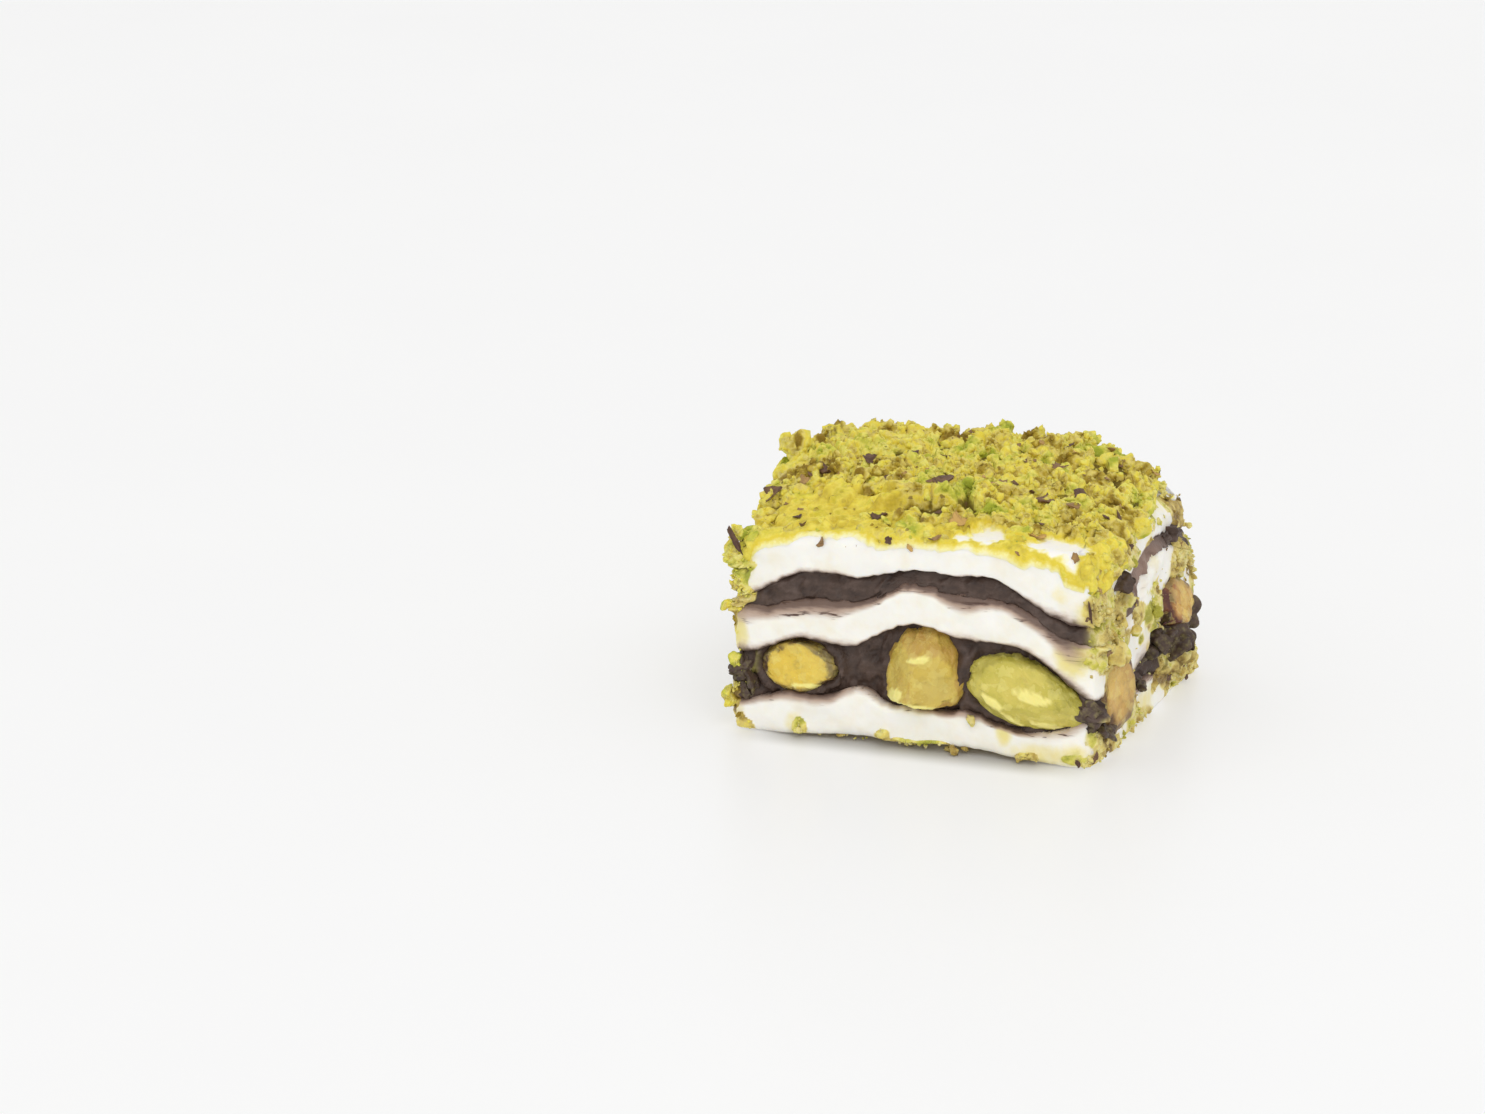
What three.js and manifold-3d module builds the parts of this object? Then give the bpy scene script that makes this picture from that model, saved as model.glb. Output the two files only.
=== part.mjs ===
// A cut piece of layered lokum: three soft white sheets with two chocolate fillings between them, whole
// pistachio kernels in the fillings, cut or bared at the four sides, and a coat of crushed pistachio on top.
// Millimetres, +Z up. The front cut face looks along -Y, and the piece rests on the flat underside of its
// bottom sheet. The sheets drape over the kernels, so every layer is a height field over one plan outline.
import * as THREE from "three";
import { mergeVertices } from "three/addons/utils/BufferGeometryUtils.js";
import Module from "manifold-3d";

// Driving dimensions
const FRONT_LEFT = 22; // from the middle to the front's left and right corners
const FRONT_RIGHT = 21.1;
const BACK_SPLAY_LEFT = 1.6; // the back is wider than the front by both splays
const BACK_SPLAY_RIGHT = 1.2;
const DEPTH = 37;
const CORNER_SQUARENESS = 30; // the exponent of the rounded plan: higher is squarer
const GAP = 0.25; // clearance between neighbouring pieces
const THINNEST_FILLING = 1.1;
const AROUND = 48; // points round a layer's outline, a multiple of 4
const INNER_SHARE = 0.8; // where a layer's floor and roof pass from rings to a fan
// The piece stands on the corners of its flat underside, whose sides bow in by a small share.
const FOOT_SHARE = 0.91;
const FOOT_BOW = 0.02;

// Height fields, from the bottom up. A swell is [x, y, rise, spread along x, spread along y].
const HALF_DEPTH = DEPTH / 2;
const FRONT = -HALF_DEPTH;
const BACK = HALF_DEPTH;
const UNDERSIDE = { base: 0, tilt: 0, crown: 0, swells: [[-1, FRONT, 0.95, 9, 1.3]] };
const BOTTOM_ROOF = {
  base: 4.7,
  tilt: 0.009,
  crown: 0.2,
  swells: [
    [-20.6, FRONT, -0.9, 2.8, 9],
    [-7.2, FRONT, 1.95, 2.7, 5],
    [14.2, FRONT, -1.2, 6.8, 9],
    [20.2, FRONT, 1.8, 2.2, 4],
    [22, 9, -1.3, 8, 5],
    [-23, -4, -0.8, 6, 6],
    [10.5, BACK, -1.1, 5, 6],
    [4.5, BACK, 1.5, 2.6, 5],
    [-10, BACK, 1.3, 2.6, 5],
  ],
};
const MIDDLE_FLOOR = {
  base: 6.8,
  tilt: -0.085,
  crown: 3.2,
  swells: [
    [-13.7, FRONT, 3.9, 5.7, 12],
    [-1.2, FRONT, 6.9, 6.6, 12],
    [11.6, FRONT, 7.5, 8.8, 12],
    [22, 9, 8.9, 12, 7.5],
    [10.5, BACK, 6.2, 7, 10],
    [-2, BACK, 6, 6.5, 10],
    [-15, BACK, 4.6, 6.2, 9],
    [-23, -5, 2.6, 6, 6],
    [-24, 8.5, 4, 7, 5.5],
  ],
};
const MIDDLE_ROOF = {
  base: 14.7,
  tilt: -0.012,
  crown: 1.6,
  swells: [
    [-12.4, FRONT, 1.15, 4.8, 12],
    [-0.3, FRONT, 4.8, 6.2, 13],
    [10.3, FRONT, 3.7, 5.8, 13],
    [22, 6, 3.7, 12, 9],
    [10.5, BACK, 3.2, 7, 10],
    [-2, BACK, 2.6, 6, 10],
    [-15, BACK, 1.2, 6, 9],
    [-23, -5, 1.4, 6, 6],
    [-24, 8.5, 1.8, 7, 5.5],
  ],
};
const TOP_FLOOR = {
  base: 15.4,
  tilt: 0.05,
  crown: 3,
  swells: [
    [-12.6, FRONT, 5, 7.4, 13],
    [-0.6, FRONT, 5.1, 5.9, 13],
    [9.3, FRONT, 5.1, 6, 13],
    [21, 3.5, 3.6, 12, 9.5],
    [10.5, BACK, 4.2, 7, 10],
    [0, BACK, 3.4, 5, 10],
    [-10, BACK, 6.3, 6.4, 9],
    [-23, -5, 3.6, 6, 6],
    [-24, 8.5, 3.6, 7, 5.5],
  ],
};
const TOP_ROOF = {
  base: 24.1,
  tilt: 0.011,
  crown: 1.8,
  swells: [
    [-26, -12, -2.7, 11.2, 16],
    [-27, -1.2, 4.5, 15, 8.7],
    [-14.6, 14.2, 1.6, 6.3, 7.8],
    [6.2, BACK, 2.5, 16, 13.4],
    [21, BACK, -3.5, 4.8, 16],
  ],
};

// How far each kind of layer's wall stands out from the plan outline, from its floor to its roof, as
// [share of the height, outset]. The sheets' cut edges are soft and the fillings lie behind them.
const SHEET_WALL = [[0, -0.7], [0.15, 0], [0.8, 0], [1, -0.8]];
const BOTTOM_WALL = [[0.07, -0.5], [0.2, 0.05], [0.8, 0], [1, -0.8]];
const TOP_WALL = [[0, -1.1], [0.12, -0.5], [0.6, -0.6], [0.86, -1.4], [1, -3]];
const FILLING_WALL = [[0, -1.5], [0.5, -1], [1, -1.5]];
// Where a filling has been squeezed out past its recess: [x, y, outset, spread].
const LOWER_BULGES = [[22, 9, 2.4, 5], [21, -17, 1.3, 2.5], [-22, 8, 1.8, 4], [-20, -18, 1.8, 2.5]];
const UPPER_BULGES = [[21, -6, 1.4, 2.5], [-22, -18, 0.9, 2], [-24, 6, 0.9, 4], [6, BACK, 0.8, 4]];

// A kernel is an egg-shaped body with its long axis turned from +X: yaw about +Z, then pitch towards +Z.
// halves are its half length, half width and half height, and each cut is a flat face that the knife
// left, as [direction, distance from the kernel's centre].
const KERNELS = [
  { name: "pistachio_front_left", at: [-14, -15.2, 8.2], halves: [4.7, 5, 3.1], yaw: 0, pitch: 6,
    cuts: [[[0, -1, 0.05], 3.75]] },
  { name: "pistachio_front_middle", at: [0.8, -15.6, 9.6], halves: [5.3, 4.3, 4.5], yaw: 90, pitch: 86,
    cuts: [[[0.55, -1, 0.1], 3.5], [[-0.75, -1, 0.25], 3.7], [[0, -0.1, -1], 4.5]] },
  { name: "pistachio_front_right", at: [13, -16.8, 7.9], halves: [7.5, 3.9, 3.8], yaw: -2, pitch: -16,
    cuts: [[[0.05, -1, 0.35], 2.9], [[0.1, -0.8, -0.6], 3.2]] },
  { name: "pistachio_right_front", at: [20.5, -11.1, 7.5], halves: [5.3, 4.2, 2.9], yaw: 0, pitch: 80,
    cuts: [[[1, -0.28, 0.05], 2.2]] },
  { name: "pistachio_right_back", at: [19.2, 8.8, 10.2], halves: [6.3, 4.8, 4.3], yaw: 4, pitch: 4,
    cuts: [[[0.8, -0.55, 0.3], 4.4]] },
  { name: "pistachio_back_right", at: [9.8, 16, 7.9], halves: [6.8, 3.9, 3.8], yaw: 176, pitch: 9,
    cuts: [[[0, 1, 0.3], 3.1]] },
  { name: "pistachio_back_middle", at: [-2.5, 15, 8.6], halves: [6, 4.2, 3.7], yaw: 84, pitch: 3,
    cuts: [[[0.1, 1, 0.1], 4.2]] },
  { name: "pistachio_back_left", at: [-15.5, 15.8, 7.9], halves: [5.8, 3.9, 3.5], yaw: 150, pitch: -10,
    cuts: [[[-0.2, 1, 0.2], 3.1]] },
  { name: "pistachio_left_front", at: [-19.7, -4.5, 7.6], halves: [5.6, 3.5, 3.3], yaw: 80, pitch: 12,
    cuts: [[[-1, 0, 0.15], 2.9]] },
  { name: "pistachio_left_back", at: [-21, 8.3, 8.7], halves: [5.6, 4, 3.8], yaw: 172, pitch: 0,
    cuts: [[[-0.9, 0.4, 0.3], 4.2]] },
  { name: "pistachio_upper_back", at: [-10, 15.4, 18.6], halves: [5.2, 4, 3.1], yaw: 20, pitch: 5,
    cuts: [[[0.1, 1, 0], 3.5]] },
];
const KERNEL_POINTS = { around: 10, along: 7 };
const KERNEL_TAPER = 0.16; // how much slimmer the pointed end is than the blunt one

// The coat of crushed pistachio
const COAT_THICK = 1.1;
const COAT_CELLS = 20; // cells across the coat's top, each way
const COAT_SHARE = 0.93; // how much of the plan its top covers before it turns down over the shoulder
const COAT_LUMP = 0.5; // height of its uneven surface
const COAT_JITTER = 0.3;
// Rings down its skirt: [share of the drop, lift, share of how far it stands out past the sheet].
const SKIRT = [[0.25, 0.5, 1], [0.75, 0, 0.9], [1, 0, 0.35]];
const SKIRT_OUT = { front: 0.7, right: 0.6, back: 1, left: 1.9 };
const SKIRT_INSET = 1.2; // how far in from the plan a short skirt ends
// How far the coat's hem hangs below the top sheet's crest, and how deep its scallops are.
const HEM_DROP = { front: 0.2, right: 1.7, back: 1.6, left: 4.8 };
const HEM_SCALLOP = 0.6;
const HEM_TONGUES = [[0.98, 2, 0.09], [1.12, 2.6, 0.09], [3.97, 1.6, 0.1]]; // [s, extra drop, spread]
const LEAST_BARE = 0.7; // the least of the top sheet's wall that shows below the hem

// Crumbs big enough to see from a step away
const SEED = 20250;
const CRUMB_CELLS = 7; // one crumb in each cell of the top, and SHOULDER_CRUMBS round its edge
const SHOULDER_CRUMBS = 18;
const CRUMB_RADIUS = [0.9, 1.6];
const WALL_CRUMB_RADIUS = [0.55, 0.85];
// Crumbs on the sheets' walls: [first s, last s, number, share of the wall's height, size].
const BOTTOM_CRUMBS = [
  [0.05, 0.95, 6, 0, 1],
  [1.1, 1.95, 4, 0.5, 1],
  [2.1, 2.9, 2, 0.2, 1],
  [3.1, 3.98, 3, 0.5, 1.3],
];
const MIDDLE_CRUMBS = [
  [1.03, 1.35, 2, 0.6, 1.2],
  [1.6, 1.9, 2, 0.5, 1],
  [3.1, 3.98, 5, 0.4, 1.4],
];
const CLUMP = { u: -0.9, v: 0.82, radius: 1.9 }; // the one large clump at the top's back left corner

const COLOURS = {
  lokum: [0xf3efe6, 0.55],
  chocolate: [0x40302a, 0.45],
  kernel: [0xc9b355, 0.5],
  coat: [0xb9ab45, 0.85],
};

const wasm = await Module();
wasm.setup();

const mix = (a, b, t) => a + (b - a) * t;
const sum = (numbers) => numbers.reduce((total, one) => total + one, 0);

function seededRandom(seed) {
  let state = seed >>> 0;
  return () => {
    state = (state + 0x6d2b79f5) >>> 0;
    let t = state;
    t = Math.imul(t ^ (t >>> 15), t | 1);
    t ^= t + Math.imul(t ^ (t >>> 7), t | 61);
    return ((t ^ (t >>> 14)) >>> 0) / 4294967296;
  };
}
const random = seededRandom(SEED);
const between = ([low, high]) => mix(low, high, random());

// The plan with sharp corners: (u, v) in the square from -1 to 1, laid on the piece's outline.
function sharpPlanPoint(u, v) {
  const back = (v + 1) / 2;
  const left = -FRONT_LEFT - BACK_SPLAY_LEFT * back;
  const right = FRONT_RIGHT + BACK_SPLAY_RIGHT * back;
  return new THREE.Vector2(mix(left, right, (u + 1) / 2), HALF_DEPTH * v);
}

// The plan with its corners rounded.
function planPoint(u, v) {
  const reach = Math.max(Math.abs(u), Math.abs(v));
  if (reach === 0) return planPoint(1e-6, 0);
  const n = CORNER_SQUARENESS;
  const rounding = reach / (Math.abs(u) ** n + Math.abs(v) ** n) ** (1 / n);
  return sharpPlanPoint(u * rounding, v * rounding);
}

// A point of the outline, for s from 0 to 4, one side to each unit, from the front left corner on.
function squarePoint(s) {
  const side = Math.floor(s) % 4;
  const t = 2 * (s - Math.floor(s)) - 1;
  return [[t, -1], [1, t], [-t, 1], [-1, -t]][side];
}

function outlinePoint(s, share, outset) {
  const at = (q) => planPoint(...squarePoint((q + 4) % 4).map((c) => c * share));
  const step = 0.02;
  const along = at(s + step).sub(at(s - step)).normalize();
  return at(s).add(new THREE.Vector2(along.y, -along.x).multiplyScalar(outset));
}

function heightOf({ base, tilt, crown, swells }) {
  return ({ x, y }) => {
    const dome = Math.max(0, 1 - (x / 23) ** 2) * Math.max(0, 1 - (y / HALF_DEPTH) ** 2);
    const swell = ([cx, cy, rise, sx, sy]) =>
      rise * Math.exp(-(((x - cx) / sx) ** 2) - ((y - cy) / sy) ** 2);
    return base + tilt * x + crown * dome + sum(swells.map(swell));
  };
}

function solidOf(points, faces) {
  return new wasm.Manifold(
    new wasm.Mesh({
      numProp: 3,
      vertProperties: new Float32Array(points),
      triVerts: new Uint32Array(faces),
    }),
  );
}

function solidOfGeometry(geometry) {
  const bare = geometry.clone();
  bare.deleteAttribute("normal");
  bare.deleteAttribute("uv");
  const merged = mergeVertices(bare, 1e-4);
  return solidOf(merged.attributes.position.array, merged.index.array);
}

// Joins rings of equal size, then closes both ends with a fan to a middle point.
function closedRings(rings, first, last) {
  const size = rings[0].length;
  const points = rings.flat().concat([first, last]).flatMap((p) => [p.x, p.y, p.z]);
  const faces = [];
  for (let r = 0; r + 1 < rings.length; r++)
    for (let i = 0; i < size; i++) {
      const [a, b] = [r * size + i, r * size + ((i + 1) % size)];
      faces.push(a, b, b + size, a, b + size, a + size);
    }
  const [start, end] = [rings.length * size, rings.length * size + 1];
  const top = (rings.length - 1) * size;
  for (let i = 0; i < size; i++) {
    const j = (i + 1) % size;
    faces.push(start, j, i, end, top + i, top + j);
  }
  return solidOf(points, faces);
}

// A layer between two height fields: rings across its floor, up its wall and back over its roof.
function layer({ floor, roof, wall, bulge = () => 0, foot = false }) {
  const at = (flat, share) => new THREE.Vector3(flat.x, flat.y, mix(floor(flat), roof(flat), share));
  const around = (pointAt) => Array.from({ length: AROUND }, (_, i) => pointAt((4 * i) / AROUND));
  const ring = (share, height, outset) =>
    around((s) => {
      const edge = outlinePoint(s, share, outset);
      return at(share < 1 ? edge : outlinePoint(s, 1, outset + bulge(edge)), height);
    });
  const footRing = () =>
    around((s) => {
      const bow = 1 - FOOT_BOW * (1 - (2 * (s % 1) - 1) ** 2);
      return at(sharpPlanPoint(...squarePoint(s).map((c) => c * FOOT_SHARE * bow)), 0);
    });
  const middle = planPoint(0, 0);
  const rings = [
    foot ? footRing() : ring(INNER_SHARE, 0, 0),
    ...wall.map(([height, outset]) => ring(1, height, outset)),
    ring(INNER_SHARE, 1, 0),
  ];
  return closedRings(rings, at(middle, 0), at(middle, 1));
}

// An egg-shaped kernel, grown by the given margin and cut by its flat faces.
function kernel({ at, halves, yaw, pitch, cuts }, margin = 0) {
  const { around, along } = KERNEL_POINTS;
  const egg = new THREE.SphereGeometry(1, around, along).rotateZ(-Math.PI / 2);
  const place = egg.attributes.position;
  for (let i = 0; i < place.count; i++) {
    const p = new THREE.Vector3().fromBufferAttribute(place, i);
    const slim = 1 - KERNEL_TAPER * p.x;
    place.setXYZ(
      i,
      p.x * (halves[0] + margin),
      p.y * (halves[1] + margin) * slim,
      p.z * (halves[2] + margin) * slim,
    );
  }
  egg.rotateY(THREE.MathUtils.degToRad(-pitch)).rotateZ(THREE.MathUtils.degToRad(yaw));
  let body = solidOfGeometry(egg);
  if (margin === 0)
    for (const [direction, distance] of cuts) body = body.subtract(halfSpace(direction, distance));
  return body.translate(at);
}

// All that lies past a plane, near the origin.
function halfSpace(direction, distance) {
  const size = 60;
  const normal = new THREE.Vector3(...direction).normalize();
  const box = new THREE.BoxGeometry(size, size, size).translate(0, 0, size / 2 + distance);
  box.applyQuaternion(new THREE.Quaternion().setFromUnitVectors(new THREE.Vector3(0, 0, 1), normal));
  return solidOfGeometry(box);
}

// An angular crumb with few sides, squashed and turned at random.
function crumb(centre, radius) {
  const lump = new THREE.IcosahedronGeometry(radius, 0);
  lump.scale(mix(0.8, 1.2, random()), mix(0.8, 1.2, random()), mix(0.65, 0.95, random()));
  lump.rotateX(random() * Math.PI).rotateZ(random() * Math.PI);
  return solidOfGeometry(lump).translate([centre.x, centre.y, centre.z]);
}

// Small uneven lumps, one or two millimetres across, from -1 to 1.
function lumps(x, y) {
  const broad = Math.sin(x * 0.71 + 1.3 * Math.sin(y * 0.53)) * Math.sin(y * 0.83 + Math.sin(x * 0.47));
  const fine = Math.sin(x * 1.9 + 2 * Math.sin(y * 0.9)) * Math.sin(y * 2.1 + 1.7 * Math.sin(x * 0.8));
  return 0.45 * broad + 0.55 * fine;
}

// A sheet's floor, held up by the filling on the roof below it.
function heldUp(floor, roofBelow) {
  const [own, below] = [heightOf(floor), heightOf(roofBelow)];
  return (p) => Math.max(own(p), below(p) + THINNEST_FILLING);
}

const topRoof = heightOf(TOP_ROOF);
const SHEETS = [
  { floor: heightOf(UNDERSIDE), roof: heightOf(BOTTOM_ROOF), wall: BOTTOM_WALL, foot: true },
  { floor: heldUp(MIDDLE_FLOOR, BOTTOM_ROOF), roof: heightOf(MIDDLE_ROOF), wall: SHEET_WALL },
  { floor: heldUp(TOP_FLOOR, MIDDLE_ROOF), roof: topRoof, wall: TOP_WALL },
];

// A value at s on the outline, blended round the corners from those of the four sides.
function bySide(s, { front, right, back, left }) {
  const near = (at) => THREE.MathUtils.clamp(3 - 5 * Math.abs(((s - at + 6) % 4) - 2), 0, 1);
  const shares = [[front, near(0.5)], [right, near(1.5)], [back, near(2.5)], [left, near(3.5)]];
  return sum(shares.map(([value, share]) => value * share)) / sum(shares.map(([, share]) => share));
}

// How far the coat's hem hangs at s on the outline, with its scallops.
function hemDrop(s) {
  const scallops = HEM_SCALLOP * (0.5 * Math.sin(s * 17) + 0.5 * Math.sin(s * 29 + 2));
  const tongue = ([at, extra, width]) => extra * Math.exp(-(((s - at) / width) ** 2));
  return bySide(s, HEM_DROP) + scallops + sum(HEM_TONGUES.map(tongue));
}

// The three sheets, or the room that each takes up with a margin all round it.
function sheetBodies(margin = 0) {
  const grown = ({ floor, roof, wall, foot }) =>
    layer({
      foot,
      floor: (p) => floor(p) - margin,
      roof: (p) => roof(p) + 1.2 * margin,
      wall: wall.map(([height, outset]) => [height, outset + margin]),
    });
  return SHEETS.map(grown);
}

// Walls between a ring of points and the ring below it.
function join(faces, above, below) {
  below.forEach((low, k) => {
    const next = (k + 1) % below.length;
    faces.push(low, below[next], above[next], low, above[next], above[k]);
  });
}

function topWallOutset(share) {
  const next = Math.max(1, TOP_WALL.findIndex(([height]) => height >= Math.min(1, share)));
  const [[low, from], [high, to]] = [TOP_WALL[next - 1], TOP_WALL[next]];
  return mix(from, to, Math.min(1, Math.max(0, (share - low) / (high - low))));
}

// A point on the coat's skirt, the given drop below the top sheet's crest and outset from its wall.
function skirtPoint(s, drop, outset) {
  const edge = outlinePoint(s, 1, 0);
  const [floor, roof] = [SHEETS[2].floor(edge), topRoof(edge)];
  const z = Math.max(roof - drop, floor + LEAST_BARE);
  const wall = Math.max(-SKIRT_INSET, topWallOutset((z - floor) / (roof - floor)));
  const p = outlinePoint(s, 1, wall + outset * bySide(s, SKIRT_OUT));
  return new THREE.Vector3(p.x, p.y, z);
}

// The coat: a lumpy skin over the top sheet, whose hem hangs over the sheet's shoulders.
function coatBody() {
  const edge = 4 * COAT_CELLS;
  const row = COAT_CELLS + 1;
  const points = [];
  const faces = [];
  for (let j = 0; j < row; j++)
    for (let i = 0; i < row; i++) {
      const p = planPoint(...[i, j].map((at) => ((2 * at) / COAT_CELLS - 1) * COAT_SHARE));
      const rough = COAT_LUMP * lumps(p.x, p.y) + COAT_JITTER * (2 * random() - 1);
      points.push(new THREE.Vector3(p.x, p.y, topRoof(p) + COAT_THICK + rough));
    }
  for (let j = 0; j < COAT_CELLS; j++)
    for (let i = 0; i < COAT_CELLS; i++) {
      const a = j * row + i;
      faces.push(a, a + 1, a + row + 1, a, a + row + 1, a + row);
    }
  const rim = Array.from({ length: edge }, (_, k) => {
    const t = k % COAT_CELLS;
    const side = Math.floor(k / COAT_CELLS);
    return [t, COAT_CELLS + t * row, COAT_CELLS * row + COAT_CELLS - t, (COAT_CELLS - t) * row][side];
  });
  let above = rim;
  for (const [share, lift, outset] of SKIRT) {
    const here = rim.map((_, k) => {
      const s = (4 * k) / edge;
      const rough = 0.5 * COAT_JITTER * (2 * random() - 1);
      return points.push(skirtPoint(s, share * hemDrop(s) - lift, outset + rough)) - 1;
    });
    join(faces, above, here);
    above = here;
  }
  // The underside lies within the sheet, so that cutting away the sheet's room leaves the skin.
  const inward = [
    (s, hem) => {
      const p = outlinePoint(s, 1, -2.6);
      return new THREE.Vector3(p.x, p.y, hem.z - 0.2);
    },
    (s) => {
      const p = outlinePoint(s, INNER_SHARE, 0);
      return new THREE.Vector3(p.x, p.y, topRoof(p) - 1);
    },
  ];
  for (const step of inward) {
    const here = above.map((hem, k) => points.push(step((4 * k) / edge, points[hem])) - 1);
    join(faces, above, here);
    above = here;
  }
  points.push(new THREE.Vector3(0, 0, topRoof(planPoint(0, 0)) - 1));
  const middle = points.length - 1;
  above.forEach((low, k) => faces.push(middle, above[(k + 1) % edge], low));
  return solidOf(points.flatMap((p) => [p.x, p.y, p.z]), faces);
}

function largest(body) {
  return body.decompose().reduce((a, b) => (b.volume() > a.volume() ? b : a));
}

function withCrumbs(body, crumbs) {
  return crumbs.reduce((sum, one) => sum.add(one), body);
}

function coatCrumbs() {
  const crumbs = [];
  const onTop = (u, v, radius) => {
    const p = planPoint(u * COAT_SHARE, v * COAT_SHARE);
    const z = topRoof(p) + COAT_THICK + COAT_LUMP * lumps(p.x, p.y) - 0.4 * radius;
    crumbs.push(crumb(new THREE.Vector3(p.x, p.y, z), radius));
  };
  for (let j = 0; j < CRUMB_CELLS; j++)
    for (let i = 0; i < CRUMB_CELLS; i++) {
      const [u, v] = [i, j].map((at) => (2 * (at + 0.1 + 0.8 * random())) / CRUMB_CELLS - 1);
      onTop(u, v, between(CRUMB_RADIUS));
    }
  onTop(CLUMP.u, CLUMP.v, CLUMP.radius);
  for (let k = 0; k < SHOULDER_CRUMBS; k++) {
    const s = (4 * (k + 0.6 * random())) / SHOULDER_CRUMBS;
    const radius = 0.8 * between(CRUMB_RADIUS);
    const at = skirtPoint(s, Math.max(0, (hemDrop(s) - radius) * random()), 0.3);
    crumbs.push(crumb(at.setZ(Math.max(at.z, SHEETS[2].floor(at) + LEAST_BARE + radius)), radius));
  }
  return crumbs;
}

function wallCrumbs({ floor, roof }, runs) {
  return runs.flatMap(([from, to, count, share, size]) =>
    Array.from({ length: count }, (_, k) => {
      const s = mix(from, to, (k + 0.2 + 0.6 * random()) / count);
      const radius = size * between(WALL_CRUMB_RADIUS);
      const p = outlinePoint(s, 1, radius * 0.35);
      const [low, high] = [floor(p) + radius + 0.4, roof(p) - radius - 0.9];
      const z = Math.max(low, mix(low, high, share * (0.6 + 0.8 * random())));
      return crumb(new THREE.Vector3(p.x, p.y, Math.min(z, Math.max(low, high))), radius);
    }),
  );
}

function bulgeOf(bulges) {
  const bulge = (p, [x, y, out, spread]) =>
    out * Math.exp(-((p.x - x) ** 2 + (p.y - y) ** 2) / spread ** 2);
  return (p) => sum(bulges.map((one) => bulge(p, one)));
}

// A filling fills the room between two sheets, as far as its own recessed wall.
function fillingBody(below, above, rooms, bulges) {
  const overlap = 0.6;
  const slab = layer({
    floor: (p) => SHEETS[below].roof(p) - overlap,
    roof: (p) => SHEETS[above].floor(p) + overlap,
    wall: FILLING_WALL,
    bulge: bulgeOf(bulges),
  });
  return largest(slab.subtract(rooms[below]).subtract(rooms[above]));
}

function build() {
  const kernelRooms = KERNELS.map((one) => kernel(one, GAP)).reduce((a, b) => a.add(b));
  const [bottom, middle, top] = sheetBodies();
  const rooms = sheetBodies(GAP);
  const bottomCrumbs = wallCrumbs(SHEETS[0], BOTTOM_CRUMBS);
  const middleCrumbs = wallCrumbs(SHEETS[1], MIDDLE_CRUMBS);
  const coat = withCrumbs(coatBody(), coatCrumbs());
  const around = (body) => largest(body.subtract(kernelRooms));

  return [
    ["bottom_lokum_sheet", "lokum", around(withCrumbs(bottom, bottomCrumbs))],
    ["lower_chocolate_filling", "chocolate", around(fillingBody(0, 1, rooms, LOWER_BULGES))],
    ["middle_lokum_sheet", "lokum", around(withCrumbs(middle, middleCrumbs))],
    ["upper_chocolate_filling", "chocolate", around(fillingBody(1, 2, rooms, UPPER_BULGES))],
    ["top_lokum_sheet", "lokum", around(top)],
    ["crushed_pistachio_coat", "coat", around(coat.subtract(rooms[2]))],
    ...KERNELS.map((one) => [one.name, "kernel", kernel(one)]),
  ];
}

function meshOf(name, finish, solid) {
  const { numProp, vertProperties, triVerts } = solid.getMesh();
  const count = vertProperties.length / numProp;
  const positions = new Float32Array(count * 3);
  for (let i = 0; i < count; i++)
    positions.set(vertProperties.subarray(i * numProp, i * numProp + 3), i * 3);
  const geometry = new THREE.BufferGeometry();
  geometry.setAttribute("position", new THREE.BufferAttribute(positions, 3));
  geometry.setIndex(new THREE.BufferAttribute(new Uint32Array(triVerts), 1));
  geometry.computeVertexNormals();
  const [color, roughness] = COLOURS[finish];
  const material = new THREE.MeshStandardMaterial({ color, roughness, metalness: 0 });
  const mesh = new THREE.Mesh(geometry, material);
  mesh.name = name;
  return mesh;
}

// The origin is at the middle of the piece's box, on the surface that it rests on.
const piece = new THREE.Group();
piece.add(...build().map((parts) => meshOf(...parts)));
const box = new THREE.Box3().setFromObject(piece);
const middle = box.getCenter(new THREE.Vector3());
piece.position.set(-middle.x, -middle.y, -box.min.z);

export default piece;
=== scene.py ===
"""A cut piece of layered lokum: three soft white sheets, two chocolate fillings with whole pistachios in
them, and a coat of crushed pistachio on top.

Shapes are worked out in millimetres from the middle of the piece's plan, +Z up, with the front cut face
along -Y, and go into the frame in metres. A place round the outline is s, from 0 to 4: the front runs from
0 at the left to 1, then come the right side, the back and the left side, one unit each.
"""
import itertools

import bmesh
import bpy
import numpy as np
from mathutils import Matrix, Vector


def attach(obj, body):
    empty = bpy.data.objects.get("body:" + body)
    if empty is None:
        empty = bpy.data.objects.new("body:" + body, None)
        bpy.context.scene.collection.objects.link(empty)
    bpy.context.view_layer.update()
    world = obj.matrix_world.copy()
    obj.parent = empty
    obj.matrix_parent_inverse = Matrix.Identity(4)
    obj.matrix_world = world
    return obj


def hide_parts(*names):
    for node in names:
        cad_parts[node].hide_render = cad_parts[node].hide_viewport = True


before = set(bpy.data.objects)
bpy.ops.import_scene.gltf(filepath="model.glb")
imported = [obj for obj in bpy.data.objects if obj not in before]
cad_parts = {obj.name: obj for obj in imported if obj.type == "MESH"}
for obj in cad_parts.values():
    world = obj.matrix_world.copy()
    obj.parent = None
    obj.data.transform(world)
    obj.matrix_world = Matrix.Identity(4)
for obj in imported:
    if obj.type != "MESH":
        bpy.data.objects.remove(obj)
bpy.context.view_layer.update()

MM = 0.001
SHIFT = np.array([0.458, 0.345, 0.0])  # where the middle of the plan is in the frame
RANDOM = np.random.default_rng(20250)

# The plan, as in the solids.
FRONT_LEFT, FRONT_RIGHT = 22.0, 21.1
BACK_SPLAY_LEFT, BACK_SPLAY_RIGHT = 1.6, 1.2
HALF_DEPTH = 18.5
CORNER_SQUARENESS = 30
F, B = -HALF_DEPTH, HALF_DEPTH

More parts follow.
